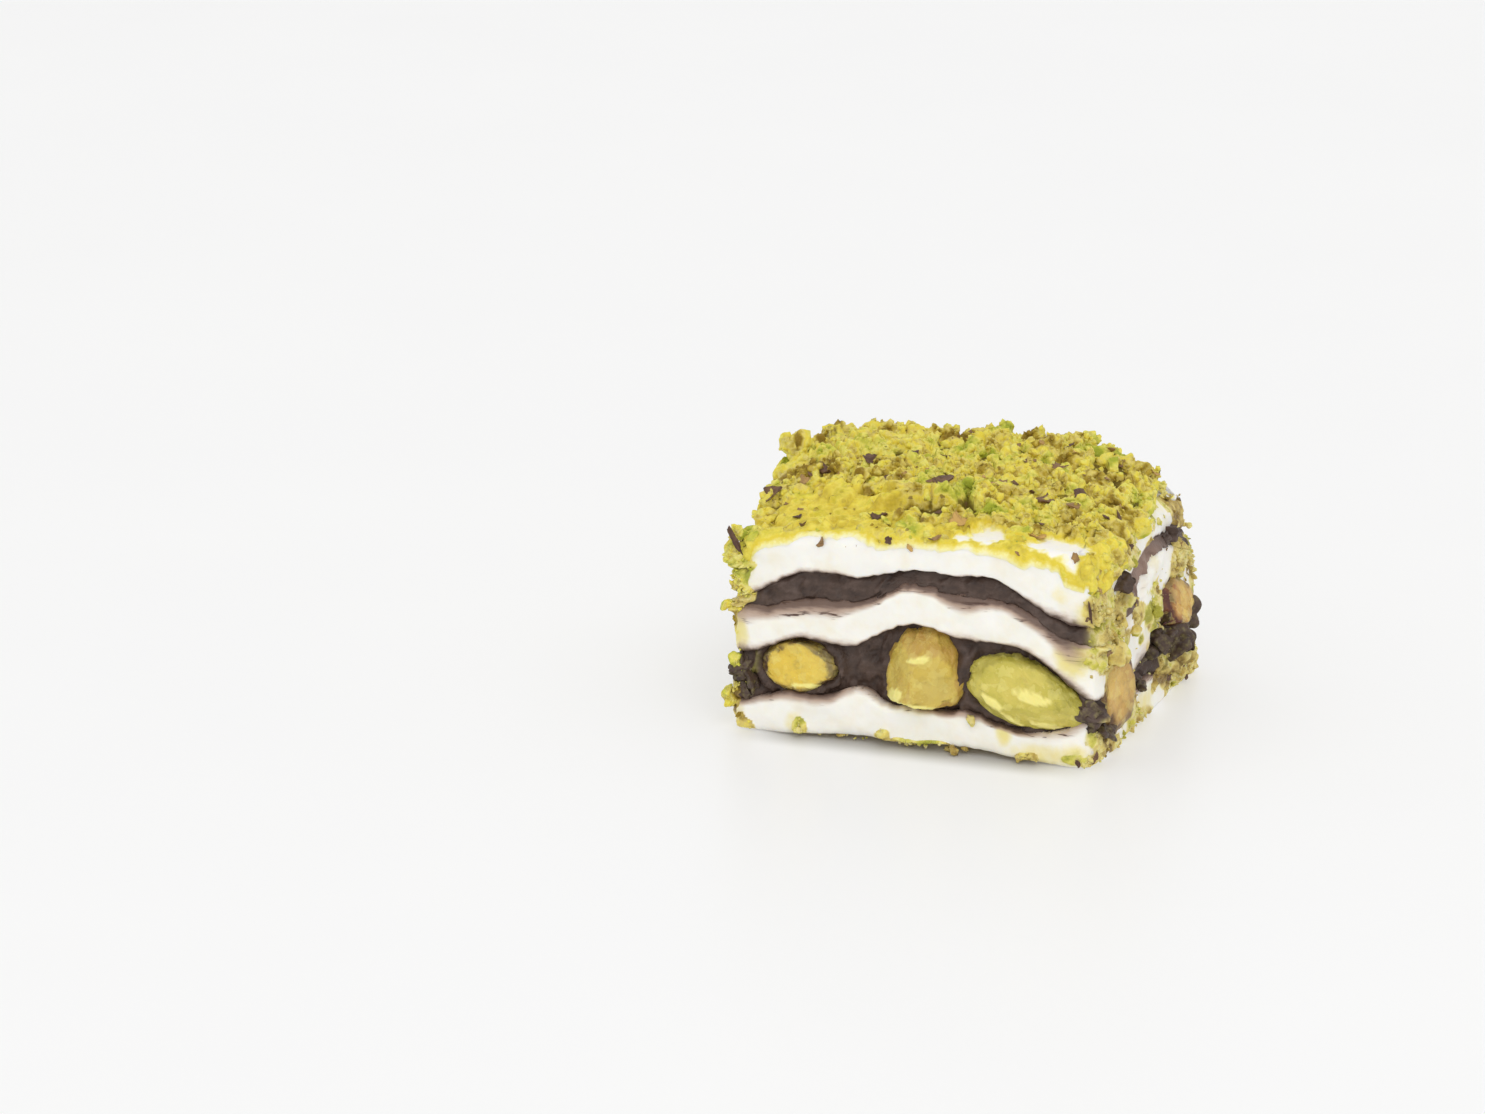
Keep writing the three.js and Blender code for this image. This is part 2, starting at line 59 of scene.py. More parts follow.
# Height fields: a base, a tilt along x, a crown in the middle, and swells, each [x, y, rise, spread x, y].
UNDERSIDE = (0, 0, 0, [[-7.5, F, 0.8, 6, 2.0], [5.5, F, 0.85, 7, 2.0]])
BOTTOM_ROOF = (4.7, 0.009, 0.2, [
    [-20.6, F, -0.9, 2.8, 9], [-14.5, F, 0.7, 3.6, 2], [-7.2, F, 1.95, 2.7, 5], [5.8, F, 0.8, 2.2, 2],
    [14.2, F, -1.2, 6.8, 9], [20.2, F, 1.8, 2.2, 4],
    [22, 9, -1.3, 8, 5], [-23, -4, -0.8, 6, 6], [10.5, B, -1.1, 5, 6], [4.5, B, 1.5, 2.6, 5],
    [-10, B, 1.3, 2.6, 5]])
MIDDLE_FLOOR = (6.8, -0.085, 3.2, [
    [-16, F, -0.5, 4.5, 3], [-13.7, F, 3.9, 5.7, 12], [-1.2, F, 6.9, 6.6, 12], [11.6, F, 7.5, 8.8, 12],
    [22, 9, 8.9, 12, 7.5],
    [10.5, B, 6.2, 7, 10], [-2, B, 6, 6.5, 10], [-15, B, 4.6, 6.2, 9], [-23, -5, 2.6, 6, 6],
    [-24, 8.5, 4, 7, 5.5]])
MIDDLE_ROOF = (14.7, -0.012, 1.6, [
    [-8.2, F, 0.6, 3.2, 3], [12.5, F, 0.4, 4, 3], [-13.5, F, 0.45, 3, 3], [5.6, F, 0.45, 3, 3],
    [22, 2, 0.7, 3, 7], [-12.4, F, 1.15, 4.8, 12], [-0.3, F, 4.8, 6.2, 13], [10.3, F, 3.7, 5.8, 13],
    [22, 6, 3.7, 12, 9],
    [10.5, B, 3.2, 7, 10], [-2, B, 2.6, 6, 10], [-15, B, 1.2, 6, 9], [-23, -5, 1.4, 6, 6],
    [-24, 8.5, 1.8, 7, 5.5]])
TOP_FLOOR = (15.4, 0.05, 3, [
    [-14, F, -0.3, 5, 3], [13.2, F, -0.7, 4.5, 3], [21.5, 2, -0.4, 3, 7], [-12.6, F, 5, 7.4, 13],
    [-0.6, F, 5.1, 5.9, 13], [9.3, F, 5.1, 6, 13], [21, 3.5, 3.6, 12, 9.5],
    [10.5, B, 4.2, 7, 10], [0, B, 3.4, 5, 10], [-10, B, 6.3, 6.4, 9], [-23, -5, 3.6, 6, 6],
    [-24, 8.5, 3.6, 7, 5.5]])
TOP_ROOF = (24.1, 0.011, 1.8, [
    [-26, -12, -2.7, 11.2, 16], [-27, -1.2, 4.5, 15, 8.7], [-14.6, 14.2, 1.6, 6.3, 7.8],
    [6.2, B, 2.5, 16, 13.4], [21, B, -3.5, 4.8, 16]])
THINNEST_FILLING = 1.1

# Each kernel: where its middle is, its half sizes, yaw, pitch, the knife's cuts as (direction, distance),
# how high the chocolate stands round it, and its kind from KERNEL_KINDS.
KERNELS = {
    "front_left": ((-14, -15.2, 8.2), (5.0, 5, 3.35), 0, 4, [((0, -1, .03), 3.2)], 0.9, "yellow"),
    "front_middle": ((.8, -15.9, 9.5), (5.2, 4.9, 4.7), 90, 86,
                     [((.4, -1, .05), 3.9), ((-.8, -.9, .2), 4.0), ((0, -.1, -1), 4.3)], 0.2, "olive"),
    "front_right": ((13, -16.8, 7.9), (7.5, 3.9, 3.8), -2, -16,
                    [((.05, -1, .35), 3.1), ((.1, -.8, -.6), 3.4)], 0.6, "green"),
    "right_front": ((20.5, -11.1, 7.3), (5.6, 4.2, 3.0), 0, 84, [((1, -.28, .05), 2.2)], 0.5, "tan"),
    "right_back": ((19.2, 8.8, 11.1), (6.3, 4.6, 4.0), 4, 4, [((1, -.1, .3), 4.5)], 0.4, "skinned"),
    "back_right": ((9.8, 16, 7.9), (6.8, 3.9, 3.8), 176, 9, [((0, 1, .3), 3.1)], 0.6, "green"),
    "back_middle": ((-2.5, 15, 8.6), (6, 4.2, 3.7), 84, 3, [((.1, 1, .1), 4.2)], 0.6, "yellow"),
    "back_left": ((-15.5, 15.8, 7.9), (5.8, 3.9, 3.5), 150, -10, [((-.2, 1, .2), 3.1)], 0.6, "olive"),
    "left_front": ((-19.7, -4.5, 7.6), (5.6, 3.5, 3.3), 80, 12, [((-1, 0, .15), 2.9)], 0.6, "yellow"),
    "left_back": ((-21, 8.3, 8.7), (5.6, 4, 3.8), 172, 0, [((-.9, .4, .3), 4.2)], 0.6, "tan"),
    "upper_back": ((-10, 15.4, 18.6), (5.2, 4, 3.1), 20, 5, [((.1, 1, 0), 3.5)], 0.6, "green"),
}
# Pale chips on the front kernels: x, z, half length, half height, tilt in degrees.
CHIPS = {
    "front_middle": [(0.6, 11.3, 1.4, 0.4, 12), (-0.4, 5.75, 2.7, 0.5, -3), (-2.1, 6.6, 1.1, 0.8, 20)],
    "front_right": [(14.2, 8.4, 2.1, 0.55, -14), (9.4, 7.6, 1.3, 0.6, -30), (15.6, 4.9, 1.6, 0.5, -12),
                    (11.8, 5.2, 1.2, 0.4, -40)],
    "front_left": [(-13.2, 6.2, 1.8, 0.3, 0)],
}
KERNEL_TAPER = 0.16
KERNEL_BLUNTNESS = 2.6  # how square the blunt end is: 2 is round


# ---------------------------------------------------------------- numbers

def mix(a, b, t):
    """From a where t is 0 to b where it is 1."""
    return a + (b - a) * t


def smooth(low, high, x):
    """0 where x is below low and 1 above high, with a soft step between; high may be the lower one."""
    t = np.clip((x - low) / (high - low), 0, 1)
    return t * t * (3 - 2 * t)


def chance(cells, salt):
    """A repeatable number from 0 to 1 for each cell of whole numbers."""
    x, y, z = (cells[..., axis].astype(np.int64).view(np.uint64) for axis in range(3))
    key = (x * np.uint64(73856093)) ^ (y * np.uint64(19349663)) ^ (z * np.uint64(83492791))
    key = (key ^ np.uint64(salt * 15485863 + 7)) * np.uint64(0x9E3779B97F4A7C15)
    key = (key ^ (key >> np.uint64(29))) * np.uint64(0xBF58476D1CE4E5B9)
    return ((key >> np.uint64(40)) & np.uint64(0xFFFFFF)).astype(float) / 0x1000000


def rough(points, size, salt=0):
    """Smooth noise from -1 to 1, whose lumps are about size across; another salt gives another pattern."""
    scaled = points / size
    base = np.floor(scaled)
    t = scaled - base
    t = t * t * (3 - 2 * t)
    total = 0
    for corner in itertools.product((0, 1), repeat=3):
        weight = np.prod(np.where(np.array(corner) == 1, t, 1 - t), axis=-1)
        total = total + weight * chance(base + corner, salt)
    return 2 * total - 1


def stirred(points, size, reach, salt=0):
    """Points moved up to reach by noise, so that what follows them loses its regular shape."""
    moves = [rough(points, size, salt + k) + 0.5 * rough(points, size / 2.3, salt + k + 3) for k in (0, 1, 2)]
    return points + reach * np.stack(moves, axis=-1)


def grains(points, size, salt=0):
    """For each point, in grain sizes: how far the nearest grain's middle is, how much nearer it is than
    the next grain's, that grain's own number, and the height there of the grain's own tilted face."""
    scaled = points / size
    base = np.floor(scaled)
    nearest, second = np.full((2, len(points)), 9.0)
    own, tilt = np.zeros((2, len(points)))
    for step in itertools.product((-1, 0, 1), repeat=3):
        cell = base + step
        offset = scaled - cell - np.stack([chance(cell, salt + k) for k in (1, 2, 3)], axis=-1)
        away = np.linalg.norm(offset, axis=-1)
        closer = away < nearest
        second = np.where(closer, nearest, np.minimum(second, away))
        nearest = np.where(closer, away, nearest)
        own = np.where(closer, chance(cell, salt + 4), own)
        lean = np.stack([chance(cell, salt + k) for k in (5, 6, 7)], axis=-1) * 2 - 1
        tilt = np.where(closer, (offset * lean).sum(-1), tilt)
    return nearest, second - nearest, own, tilt


# ---------------------------------------------------------------- plan, heights and walls

def plan(u, v):
    """Points of the plan for u and v from -1 to 1, with the plan's corners rounded."""
    reach = np.maximum(np.maximum(np.abs(u), np.abs(v)), 1e-9)
    n = CORNER_SQUARENESS
    rounding = ((np.abs(u) / reach) ** n + (np.abs(v) / reach) ** n) ** (-1 / n)
    u, v = u * rounding, v * rounding
    back = (v + 1) / 2
    left = -FRONT_LEFT - BACK_SPLAY_LEFT * back
    right = FRONT_RIGHT + BACK_SPLAY_RIGHT * back
    return np.stack([mix(left, right, (u + 1) / 2), HALF_DEPTH * v], axis=-1)


def square(s):
    """u and v of the places round the outline."""
    side = np.floor(s).astype(int) % 4
    t = 2 * (s - np.floor(s)) - 1
    one = np.ones_like(t)
    return np.choose(side, [t, one, -t, -one]), np.choose(side, [-one, t, one, -t])


def outline(s, share=1.0, outset=0.0):
    """Points of the outline shrunk to a share of the plan, then moved outward by the outset."""
    def at(q):
        """Points of the shrunk outline."""
        u, v = square(q % 4)
        return plan(u * share, v * share)

    s = np.asarray(s, float)
    step = 0.02
    along = at(s + step) - at(s - step)
    along /= np.linalg.norm(along, axis=-1, keepdims=True)
    outward = np.stack([along[..., 1], -along[..., 0]], axis=-1)
    return at(s) + outward * np.asarray(outset)[..., None]


def height(field, flat):
    """A height field's value at points of the plan."""
    base, tilt, crown, swells = field
    x, y = flat[..., 0], flat[..., 1]
    dome = np.maximum(0, 1 - (x / 23) ** 2) * np.maximum(0, 1 - (y / HALF_DEPTH) ** 2)
    total = base + tilt * x + crown * dome
    for cx, cy, rise, sx, sy in swells:
        total = total + rise * np.exp(-((x - cx) / sx) ** 2 - ((y - cy) / sy) ** 2)
    return total


def by_side(s, front, right, back, left):
    """A value round the outline, blended over the corners."""
    weights = [np.clip(3 - 5 * np.abs((s - middle + 6) % 4 - 2), 0, 1) for middle in (0.5, 1.5, 2.5, 3.5)]
    return sum(w * value for w, value in zip(weights, (front, right, back, left))) / sum(weights)


def top_roof(flat):
    """The top sheet's roof, which is fuller at the front, where its coat is thin."""
    return height(TOP_ROOF, flat) + 0.55 * smooth(-13, -17, flat[..., 1])


class Sheet:
    """A soft sheet between a floor and a roof. Its wall's edges are rounded: low is the lower one's
    (share of the height, inset), and high gives the upper one's for a place round the outline."""

    def __init__(self, floor, roof, outset, low, high):
        self.floor, self.roof, self.outset, self.low, self.high = floor, roof, outset, low, high

    def wall(self, s, share):
        """How far the wall stands out from the plan at a share of the height."""
        low_share, low_inset = self.low
        high_share, high_inset = self.high(s)
        below = np.clip(1 - share / low_share, 0, 1)
        above = np.clip(1 - (1 - share) / high_share, 0, 1)
        return (self.outset(s) - low_inset * (1 - np.sqrt(1 - below ** 2))
                - high_inset * (1 - np.sqrt(1 - above ** 2)))

    def wall_points(self, s, share):
        """Points on the wall, with its dents and nicks."""
        outset = self.wall(s, share)
        flat = outline(s, 1.0, outset)
        z = mix(self.floor(flat), self.roof(flat), share)
        round_about = 4 + s * 14
        dents = 0.22 * rough(np.stack([round_about, 0 * s, z / 2.2], -1), 1.0, 3)
        dents += 0.06 * rough(np.stack([round_about * 4.3, 0 * s, z], -1), 1.0, 5)
        nicks = rough(np.stack([round_about * 1.7, 0 * s, share * 2], -1), 1.0, 6)
        nicks += 0.7 * rough(np.stack([round_about * 5, 0 * s, share * 2], -1), 1.0, 7)
        z = z + 0.16 * nicks * (2 * share - 1) * smooth(0, 1.5, z) * smooth(24, 22, z)
        return np.concatenate([outline(s, 1.0, outset + dents), z[..., None]], -1)

    def shares(self, s, rows):
        """Heights up the wall, closer together where its edges are rounded."""
        turn = np.linspace(0, np.pi / 2, rows)[:, None]
        high_share = np.broadcast_to(self.high(s)[0], s.shape)
        low = self.low[0] * (1 - np.cos(turn)) + 0 * s
        high = 1 - high_share * (1 - np.sin(turn))
        middle = mix(self.low[0], 1 - high_share, np.linspace(0, 1, rows + 2)[1:-1, None])
        return np.concatenate([low, middle, high])


def middle_floor(flat):
    """The middle sheet's floor, which leaves room for the filling below it."""
    return np.maximum(height(MIDDLE_FLOOR, flat), height(BOTTOM_ROOF, flat) + THINNEST_FILLING)


def top_floor(flat):
    """The top sheet's floor, which leaves room for the filling below it."""
    return np.maximum(height(TOP_FLOOR, flat), height(MIDDLE_ROOF, flat) + THINNEST_FILLING)


def near(s, at, reach):
    """1 at a place round the outline, falling off on both sides."""
    return np.exp(-(((s - at + 2) % 4 - 2) / reach) ** 2)


# Each sheet: its floor, its roof, how far its wall stands out, and its wall's lower and upper edges.
SHEETS = {
    "bottom": Sheet(lambda p: height(UNDERSIDE, p), lambda p: height(BOTTOM_ROOF, p), lambda s: 0.03,
                    (0.2, 0.55), lambda s: (0.2, 0.8)),
    "middle": Sheet(middle_floor, lambda p: height(MIDDLE_ROOF, p), lambda s: 0.0, (0.15, 0.7),
                    lambda s: (0.22, 0.8)),
    "top": Sheet(top_floor, top_roof, lambda s: -0.5 - 0.8 * near(s, 1.95, 0.3), (0.13, 0.6),
                 lambda s: (by_side(s, 0.26, 0.4, 0.4, 0.4),
                            by_side(s, 1.3, 2.5, 2.5, 2.5) + 1.2 * near(s, 1.98, 0.2))),
}


# Each filling: the sheets below and above it, its outset at its foot and at its top, and its bulges as
# (x, y, outset, spread).
FILLINGS = {
    "lower": ("bottom", "middle", -0.8, -2.2, [(22, 9, 2.4, 5.5), (21, -17, 1.3, 2.5), (-22, 8, 1.6, 4),
                                               (-21, -18, 1.2, 2.0), (-6, F, -0.9, 2.2)]),
    "upper": ("middle", "top", -0.45, -1.7, [(21, -6, 1.2, 2.5), (-24, 6, 0.9, 4), (6, B, 0.8, 4)]),
}


def filling_outset(name, s, share):
    """How far a filling stands out from the plan at a share of its height."""
    _, _, foot, top, bulges = FILLINGS[name]
    outset = mix(foot, top, share ** 1.6) - 0.5 * smooth(0.15, 0.0, share)
    edge = outline(s, 1.0, outset)
    for x, y, out, spread in bulges:
        outset = outset + out * np.exp(-((edge - (x, y)) ** 2).sum(-1) / spread ** 2)
    return outset


def side_point(s, z):
    """Where the piece's side is at heights z round the outline: the point and the outward direction."""
    s, z = np.broadcast_arrays(np.asarray(s, float), np.asarray(z, float))
    edge = outline(s)
    outset = np.full(s.shape, -1.0)
    for sheet in SHEETS.values():
        floor, roof = sheet.floor(edge), sheet.roof(edge)
        share = (z - floor) / (roof - floor)
        inside = (share >= 0) & (share <= 1)
        outset = np.where(inside, np.maximum(-2.0, sheet.wall(s, np.clip(share, 0, 1))), outset)
    for name, (below, above, *_) in FILLINGS.items():
        floor, roof = SHEETS[below].roof(edge), SHEETS[above].floor(edge)
        share = (z - floor) / (roof - floor)
        inside = (share > 0) & (share < 1)
        outset = np.where(inside, filling_outset(name, s, np.clip(share, 0, 1)), outset)
    flat = outline(s, 1.0, outset)
    out = outline(s, 1.0, outset + 1.0) - flat
    return np.concatenate([flat, z[..., None]], -1), np.concatenate([out, 0 * z[..., None]], -1)


# ---------------------------------------------------------------- crumbs on the sides

# Places where crumbs are pressed onto the sides: s, height, half length, half height and thickness.
# A negative thickness keeps a place bare.
CRUST = [
    (3.98, 20.0, 1.2, 4.4, 1.7), (3.99, 17.6, 1.1, 1.8, 0.6), (3.92, 19, 2.6, 5, 1.0),
    (3.98, 14.8, 0.45, 0.6, 1.0), (3.9, 3.0, 1.5, 1.7, 0.9), (0.07, 3.2, 2.2, 2.6, -1.5),
    (0.05, 12.5, 1.6, 2.0, -1.5), (0.186, 1.2, 0.7, 1.1, 0.6), (0.42, 1.0, 0.9, 0.8, 0.9),
    (0.82, 0.7, 1.0, 0.6, 0.8), (0.95, 1.2, 1.2, 0.6, 0.25), (0.6, 0.1, 4.0, 0.45, 0.45),
    (0.3, 0.2, 5.5, 0.35, 0.45), (0.52, 0.75, 4.8, 0.5, 0.8), (1.0, 0.7, 0.8, 0.9, 0.4),
    (1.06, 18.6, 1.7, 4.2, 0.6), (1.08, 15.0, 1.5, 3, 0.7), (1.1, 12.6, 2.2, 1.8, 0.8),
    (1.2, 16.5, 4, 2.8, 0.4), (1.33, 14.6, 0.9, 1.3, -1.5), (1.2, 13.4, 3.5, 1.3, 0.7),
    (1.42, 13.6, 2.0, 1.6, 0.5), (1.58, 12.0, 3.4, 1.9, 0.9), (1.68, 9.7, 2.4, 1.5, 0.8),
    (1.84, 15.0, 3.6, 2.2, 0.7), (1.55, 17.6, 2.2, 1.9, -1.5), (1.67, 15.2, 1.7, 0.9, -1.5),
    (1.76, 3.8, 5.0, 2.6, 0.7), (1.9, 2.2, 4.5, 2.4, 0.9), (1.48, 3.1, 1.3, 1.6, -1.5),
    (1.47, 0.9, 1.2, 0.9, 0.7), (1.08, 2.6, 2.4, 2.0, 0.6), (1.2, 0.8, 2.0, 0.9, 0.6),
    (1.54, 22.8, 3.0, 1.9, -2.0), (1.7, 22.2, 0.7, 2.6, 0.5), (1.81, 20.8, 1.3, 1.6, -1.5),
    (1.97, 21.5, 2.2, 3.0, 0.5), (1.66, 11.6, 1.6, 2.2, -2.0), (1.86, 11.4, 1.3, 2.4, -2.0),
    (1.36, 7.0, 2.2, 2.8, -1.5), (1.25, 4.5, 3.0, 2.4, -1.5),
]


def crust(points, s):
    """How thick crumbs are pressed onto the sides, in millimetres."""
    patch = rough(points, 4.5, 101) + 0.5 * rough(points, 1.7, 102)
    thick = by_side(s, 0.0, 0.35, 0.8, 0.9) * smooth(0.0, 0.45, patch)
    wobble = 0.35 * rough(points, 1.1, 103) + 0.3 * rough(points, 2.6, 104)
    for at, middle, long, tall, rise in CRUST:
        x, y = outline(at)
        away = np.sqrt(((points[:, 0] - x) ** 2 + (points[:, 1] - y) ** 2) / long ** 2
                       + ((points[:, 2] - middle) / tall) ** 2)
        thick = thick + rise * smooth(1.3, 0.75, away + wobble)
    return np.clip(thick, 0, 2)


# ---------------------------------------------------------------- meshes

def ring_faces(rows, around):
    """Triangles between rings of equal size, which run anticlockwise seen from above."""
    here = np.arange(around)
    a = np.arange(rows - 1)[:, None] * around + here
    b = np.arange(rows - 1)[:, None] * around + (here + 1) % around
    halves = [np.stack([a, b, b + around], -1), np.stack([a, b + around, a + around], -1)]
    return np.stack(halves).reshape(-1, 3)


def end_faces(ring, middle, upward):
    """A fan from a ring of points to a middle point."""
    ahead = np.roll(ring, -1)
    middle = np.full_like(ring, middle)
    return np.stack([middle, ring, ahead] if upward else [middle, ahead, ring], -1)


def closed(rings, first, last):
    """Points and triangles of a body of stacked rings, closed by a fan to a middle point at each end."""
    rows, around, _ = rings.shape
    count = rows * around
    points = np.concatenate([rings.reshape(-1, 3), [first, last]])
    faces = np.concatenate([
        ring_faces(rows, around),
        end_faces(np.arange(around), count, False),
        end_faces(np.arange(count - around, count), count + 1, True)])
    return points, faces


def normals(points, faces):
    """The outward direction at each point, larger where its faces are."""
    a, b, c = (points[faces[:, corner]] for corner in range(3))
    across = np.cross(b - a, c - a)
    total = np.zeros_like(points)
    for corner in range(3):
        for axis in range(3):
            total[:, axis] += np.bincount(faces[:, corner], across[:, axis], len(points))
    return total / np.maximum(np.linalg.norm(total, axis=1, keepdims=True), 1e-12)


def added(name, data):
    """A new object in the scene."""
    holder = bpy.data.objects.new(name, data)
    bpy.context.scene.collection.objects.link(holder)
    return holder


def piece(name, points, faces, finish, slot, stands_for=(), chipped=False, **marks):
    """A mesh piece in the frame, smooth or in flat chips, with a float attribute for each mark."""
    mesh = bpy.data.meshes.new(name)
    mesh.vertices.add(len(points))
    mesh.vertices.foreach_set("co", ((points + SHIFT) * MM).astype(np.float32).ravel())
    mesh.loops.add(faces.size)
    mesh.loops.foreach_set("vertex_index", faces.astype(np.int32).ravel())
    mesh.polygons.add(len(faces))
    mesh.polygons.foreach_set("loop_start", np.arange(0, faces.size, 3, dtype=np.int32))
    mesh.update(calc_edges=True)
    if not chipped:
        mesh.shade_smooth()
    for mark, values in marks.items():
        mesh.attributes.new(mark, "FLOAT", "POINT").data.foreach_set("value", values.astype(np.float32))
    mesh.materials.append(finish)
    body = added(name, mesh)
    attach(body, "root")
    if stands_for:
        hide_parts(*stands_for)
    return body


# ---------------------------------------------------------------- finishes

def paint(red, green, blue):
    """A colour from its everyday values from 0 to 255."""
    share = [c / 255 for c in (red, green, blue)]
    return (*[c / 12.92 if c <= 0.04045 else ((c + 0.055) / 1.055) ** 2.4 for c in share], 1.0)


class Socket:
    """An output of a node, or a sum made from it: each operator adds one Math node."""

    def __init__(self, finish, socket):
        self.finish, self.socket = finish, socket

    def _math(self, operation, *values):
        return self.finish.node("Math", {"operation": operation}, dict(enumerate(values)))

    def __add__(self, other):
        return self._math("ADD", self, other)

    def __sub__(self, other):
        return self._math("SUBTRACT", self, other)

    def __rsub__(self, other):
        return self._math("SUBTRACT", other, self)

    def __mul__(self, other):
        return self._math("MULTIPLY", self, other)

    def __pow__(self, other):
        return self._math("POWER", self, other)

    __radd__, __rmul__ = __add__, __mul__

    def step(self, low, high):
        """0 below low and 1 above high, with a soft step between."""
        return self.finish.node("MapRange", {"interpolation_type": "SMOOTHSTEP"}, {0: self, 1: low, 2: high})


NOISE_ROUGHNESS = 0.55


class Finish:
    """A material, built node by node on one Principled shader."""

    def __init__(self, name, **constants):
        self.material = bpy.data.materials.new(name)
        self.material.use_nodes = True
        self.tree = self.material.node_tree
        self.tree.nodes.clear()
        self.shader = self.tree.nodes.new("ShaderNodeBsdfPrincipled")
        output = self.tree.nodes.new("ShaderNodeOutputMaterial")
        self.tree.links.new(self.shader.outputs[0], output.inputs[0])
        for name, value in constants.items():
            self.shader.inputs[name.replace("_", " ")].default_value = value
        metres = self.node("TexCoord", output="Object")
        self.place = self.node("VectorMath", {"operation": "SCALE"}, {0: metres, "Scale": 1 / MM})

    def node(self, kind, settings=None, values=None, output=0):
        """Adds a node: first its settings, with a ramp's stops as (place, colour), then its sockets."""
        made = self.tree.nodes.new("ShaderNode" + kind)
        for name, value in (settings or {}).items():
            if name == "stops":
                self._stops(made.color_ramp.elements, value)
            else:
                setattr(made, name, value)
        for name, value in (values or {}).items():
            self._set(made.inputs[name], value)
        return Socket(self, made.outputs[output])

    def _stops(self, elements, stops):
        while len(elements) < len(stops):
            elements.new(1.0)
        for element, (at, colour) in zip(elements, stops):
            element.position, element.color = at, colour

    def _set(self, target, value):
        if isinstance(value, Socket):
            self.tree.links.new(value.socket, target)
        else:
            target.default_value = value

    def mark(self, name):
        """The value that the mesh carries under a name."""
        return self.node("Attribute", {"attribute_name": name}, output="Fac")

    def noise(self, size, detail=3.0, stretch=(1, 1, 1)):
        """Noise from 0 to 1 whose lumps are about size millimetres, drawn out by the stretch."""
        drawn = [1 / k for k in stretch]
        place = self.node("VectorMath", {"operation": "MULTIPLY"}, {0: self.place, 1: drawn})
        return self.node("TexNoise", {}, {"Vector": place, "Scale": 1 / size, "Detail": detail,
                                          "Roughness": NOISE_ROUGHNESS})

    def cells(self, size, output="Distance", stir=0.0):
        """Cells about size millimetres across, whose edges noise moves by up to the stir."""
        moves = self.node("TexNoise", {}, {"Vector": self.place, "Scale": 1.4 / size}, "Color")
        stirring = {0: moves, 1: (stir,) * 3, 2: self.place}
        place = self.node("VectorMath", {"operation": "MULTIPLY_ADD"}, stirring)
        return self.node("TexVoronoi", {}, {"Vector": place, "Scale": 1 / size}, output)

    def blend(self, share, one, other):
        """One colour where the share is 0 and the other where it is 1."""
        return self.node("Mix", {"data_type": "RGBA"}, {0: share, 6: one, 7: other}, 2)

    def ramp(self, value, *stops):
        """A colour picked by a value from stops of (place, colour)."""
        return self.node("ValToRGB", {"stops": stops}, {0: value})

    def feed(self, name, value):
        """Gives one of the shader's sockets a value or links an output to it."""
        self._set(self.shader.inputs[name], value)

    def surface(self, colour, roughness, relief=None, strength=0.3, distance=0.2):
        """Feeds the shader; relief is a height in millimetres times distance."""
        self.feed("Base Color", colour)
        self.feed("Roughness", roughness)
        if relief is not None:
            bump = self.node("Bump", {}, {"Height": relief, "Strength": strength, "Distance": distance * MM})
            self.feed("Normal", bump)
        return self.material


WHITE = paint(250, 247, 239)
CREAM = paint(246, 239, 222)
STAINED = paint(240, 226, 150)
TAN = paint(182, 156, 138)
DARK_FILM = paint(86, 62, 52)
CHOCOLATE = paint(76, 59, 50)
MILKY = paint(164, 136, 122)
CHOCOLATE_DUST = paint(150, 140, 84)
PISTACHIO = [(0.06, paint(150, 124, 44)), (0.2, paint(190, 166, 62)), (0.34, paint(226, 208, 118)),
             (0.48, paint(236, 217, 80)), (0.62, paint(240, 228, 120)), (0.73, paint(218, 212, 92)),
             (0.86, paint(196, 196, 74)), (0.97, paint(172, 180, 62))]
PRESSED = [(0.1, paint(138, 112, 68)), (0.26, paint(188, 162, 96)), (0.42, paint(220, 198, 120)),
           (0.58, paint(234, 220, 164)), (0.74, paint(212, 202, 96)), (0.9, paint(170, 162, 70))]
SPECK = paint(250, 240, 160)
# Painted shade for the crevices of the crushed pistachio.
CREVICE_SHADE = paint(104, 88, 8)
# Painted deeper shade for the lowest places of the bed.
DEEP_CREVICE_SHADE = paint(84, 66, 14)
POWDER = [(0.34, paint(194, 172, 58)), (0.45, paint(224, 202, 72)), (0.55, paint(240, 222, 94)),
          (0.66, paint(212, 198, 64))]
SKIN_CRUMB = paint(118, 88, 56)
HEM_YELLOW = paint(230, 208, 68)
HEM_PALE = paint(246, 236, 156)
SKIN = [(0.05, paint(84, 58, 46)), (0.35, paint(122, 92, 66)), (0.65, paint(164, 128, 78)),
        (0.95, paint(204, 164, 92))]


def crushed(made, tint, lift, pressed=0.0):
    """Crushed pistachio's colour: a tint from 0 to 1 picks it, it gets painted shade where lift is 0, in the
    crevices and on the crumbs' undersides, and it is browner where it is pressed onto a side."""
    broad = made.noise(5.5, 2) + made.noise(2.4, 2)
    tone = (broad - 1.0) * 1.8 + tint * 0.4 + 0.3
    base = made.blend(pressed, made.ramp(tone, *PISTACHIO), made.ramp(tone, *PRESSED))
    specks = made.noise(0.22, 2)
    base = made.blend(specks.step(0.56, 0.7) * 0.15, base, SPECK)
    # painted shade: the colour darkens towards the crevice shade where lift is low
    return made.blend(lift.step(0.3, 0.0) * 0.7, base, CREVICE_SHADE)


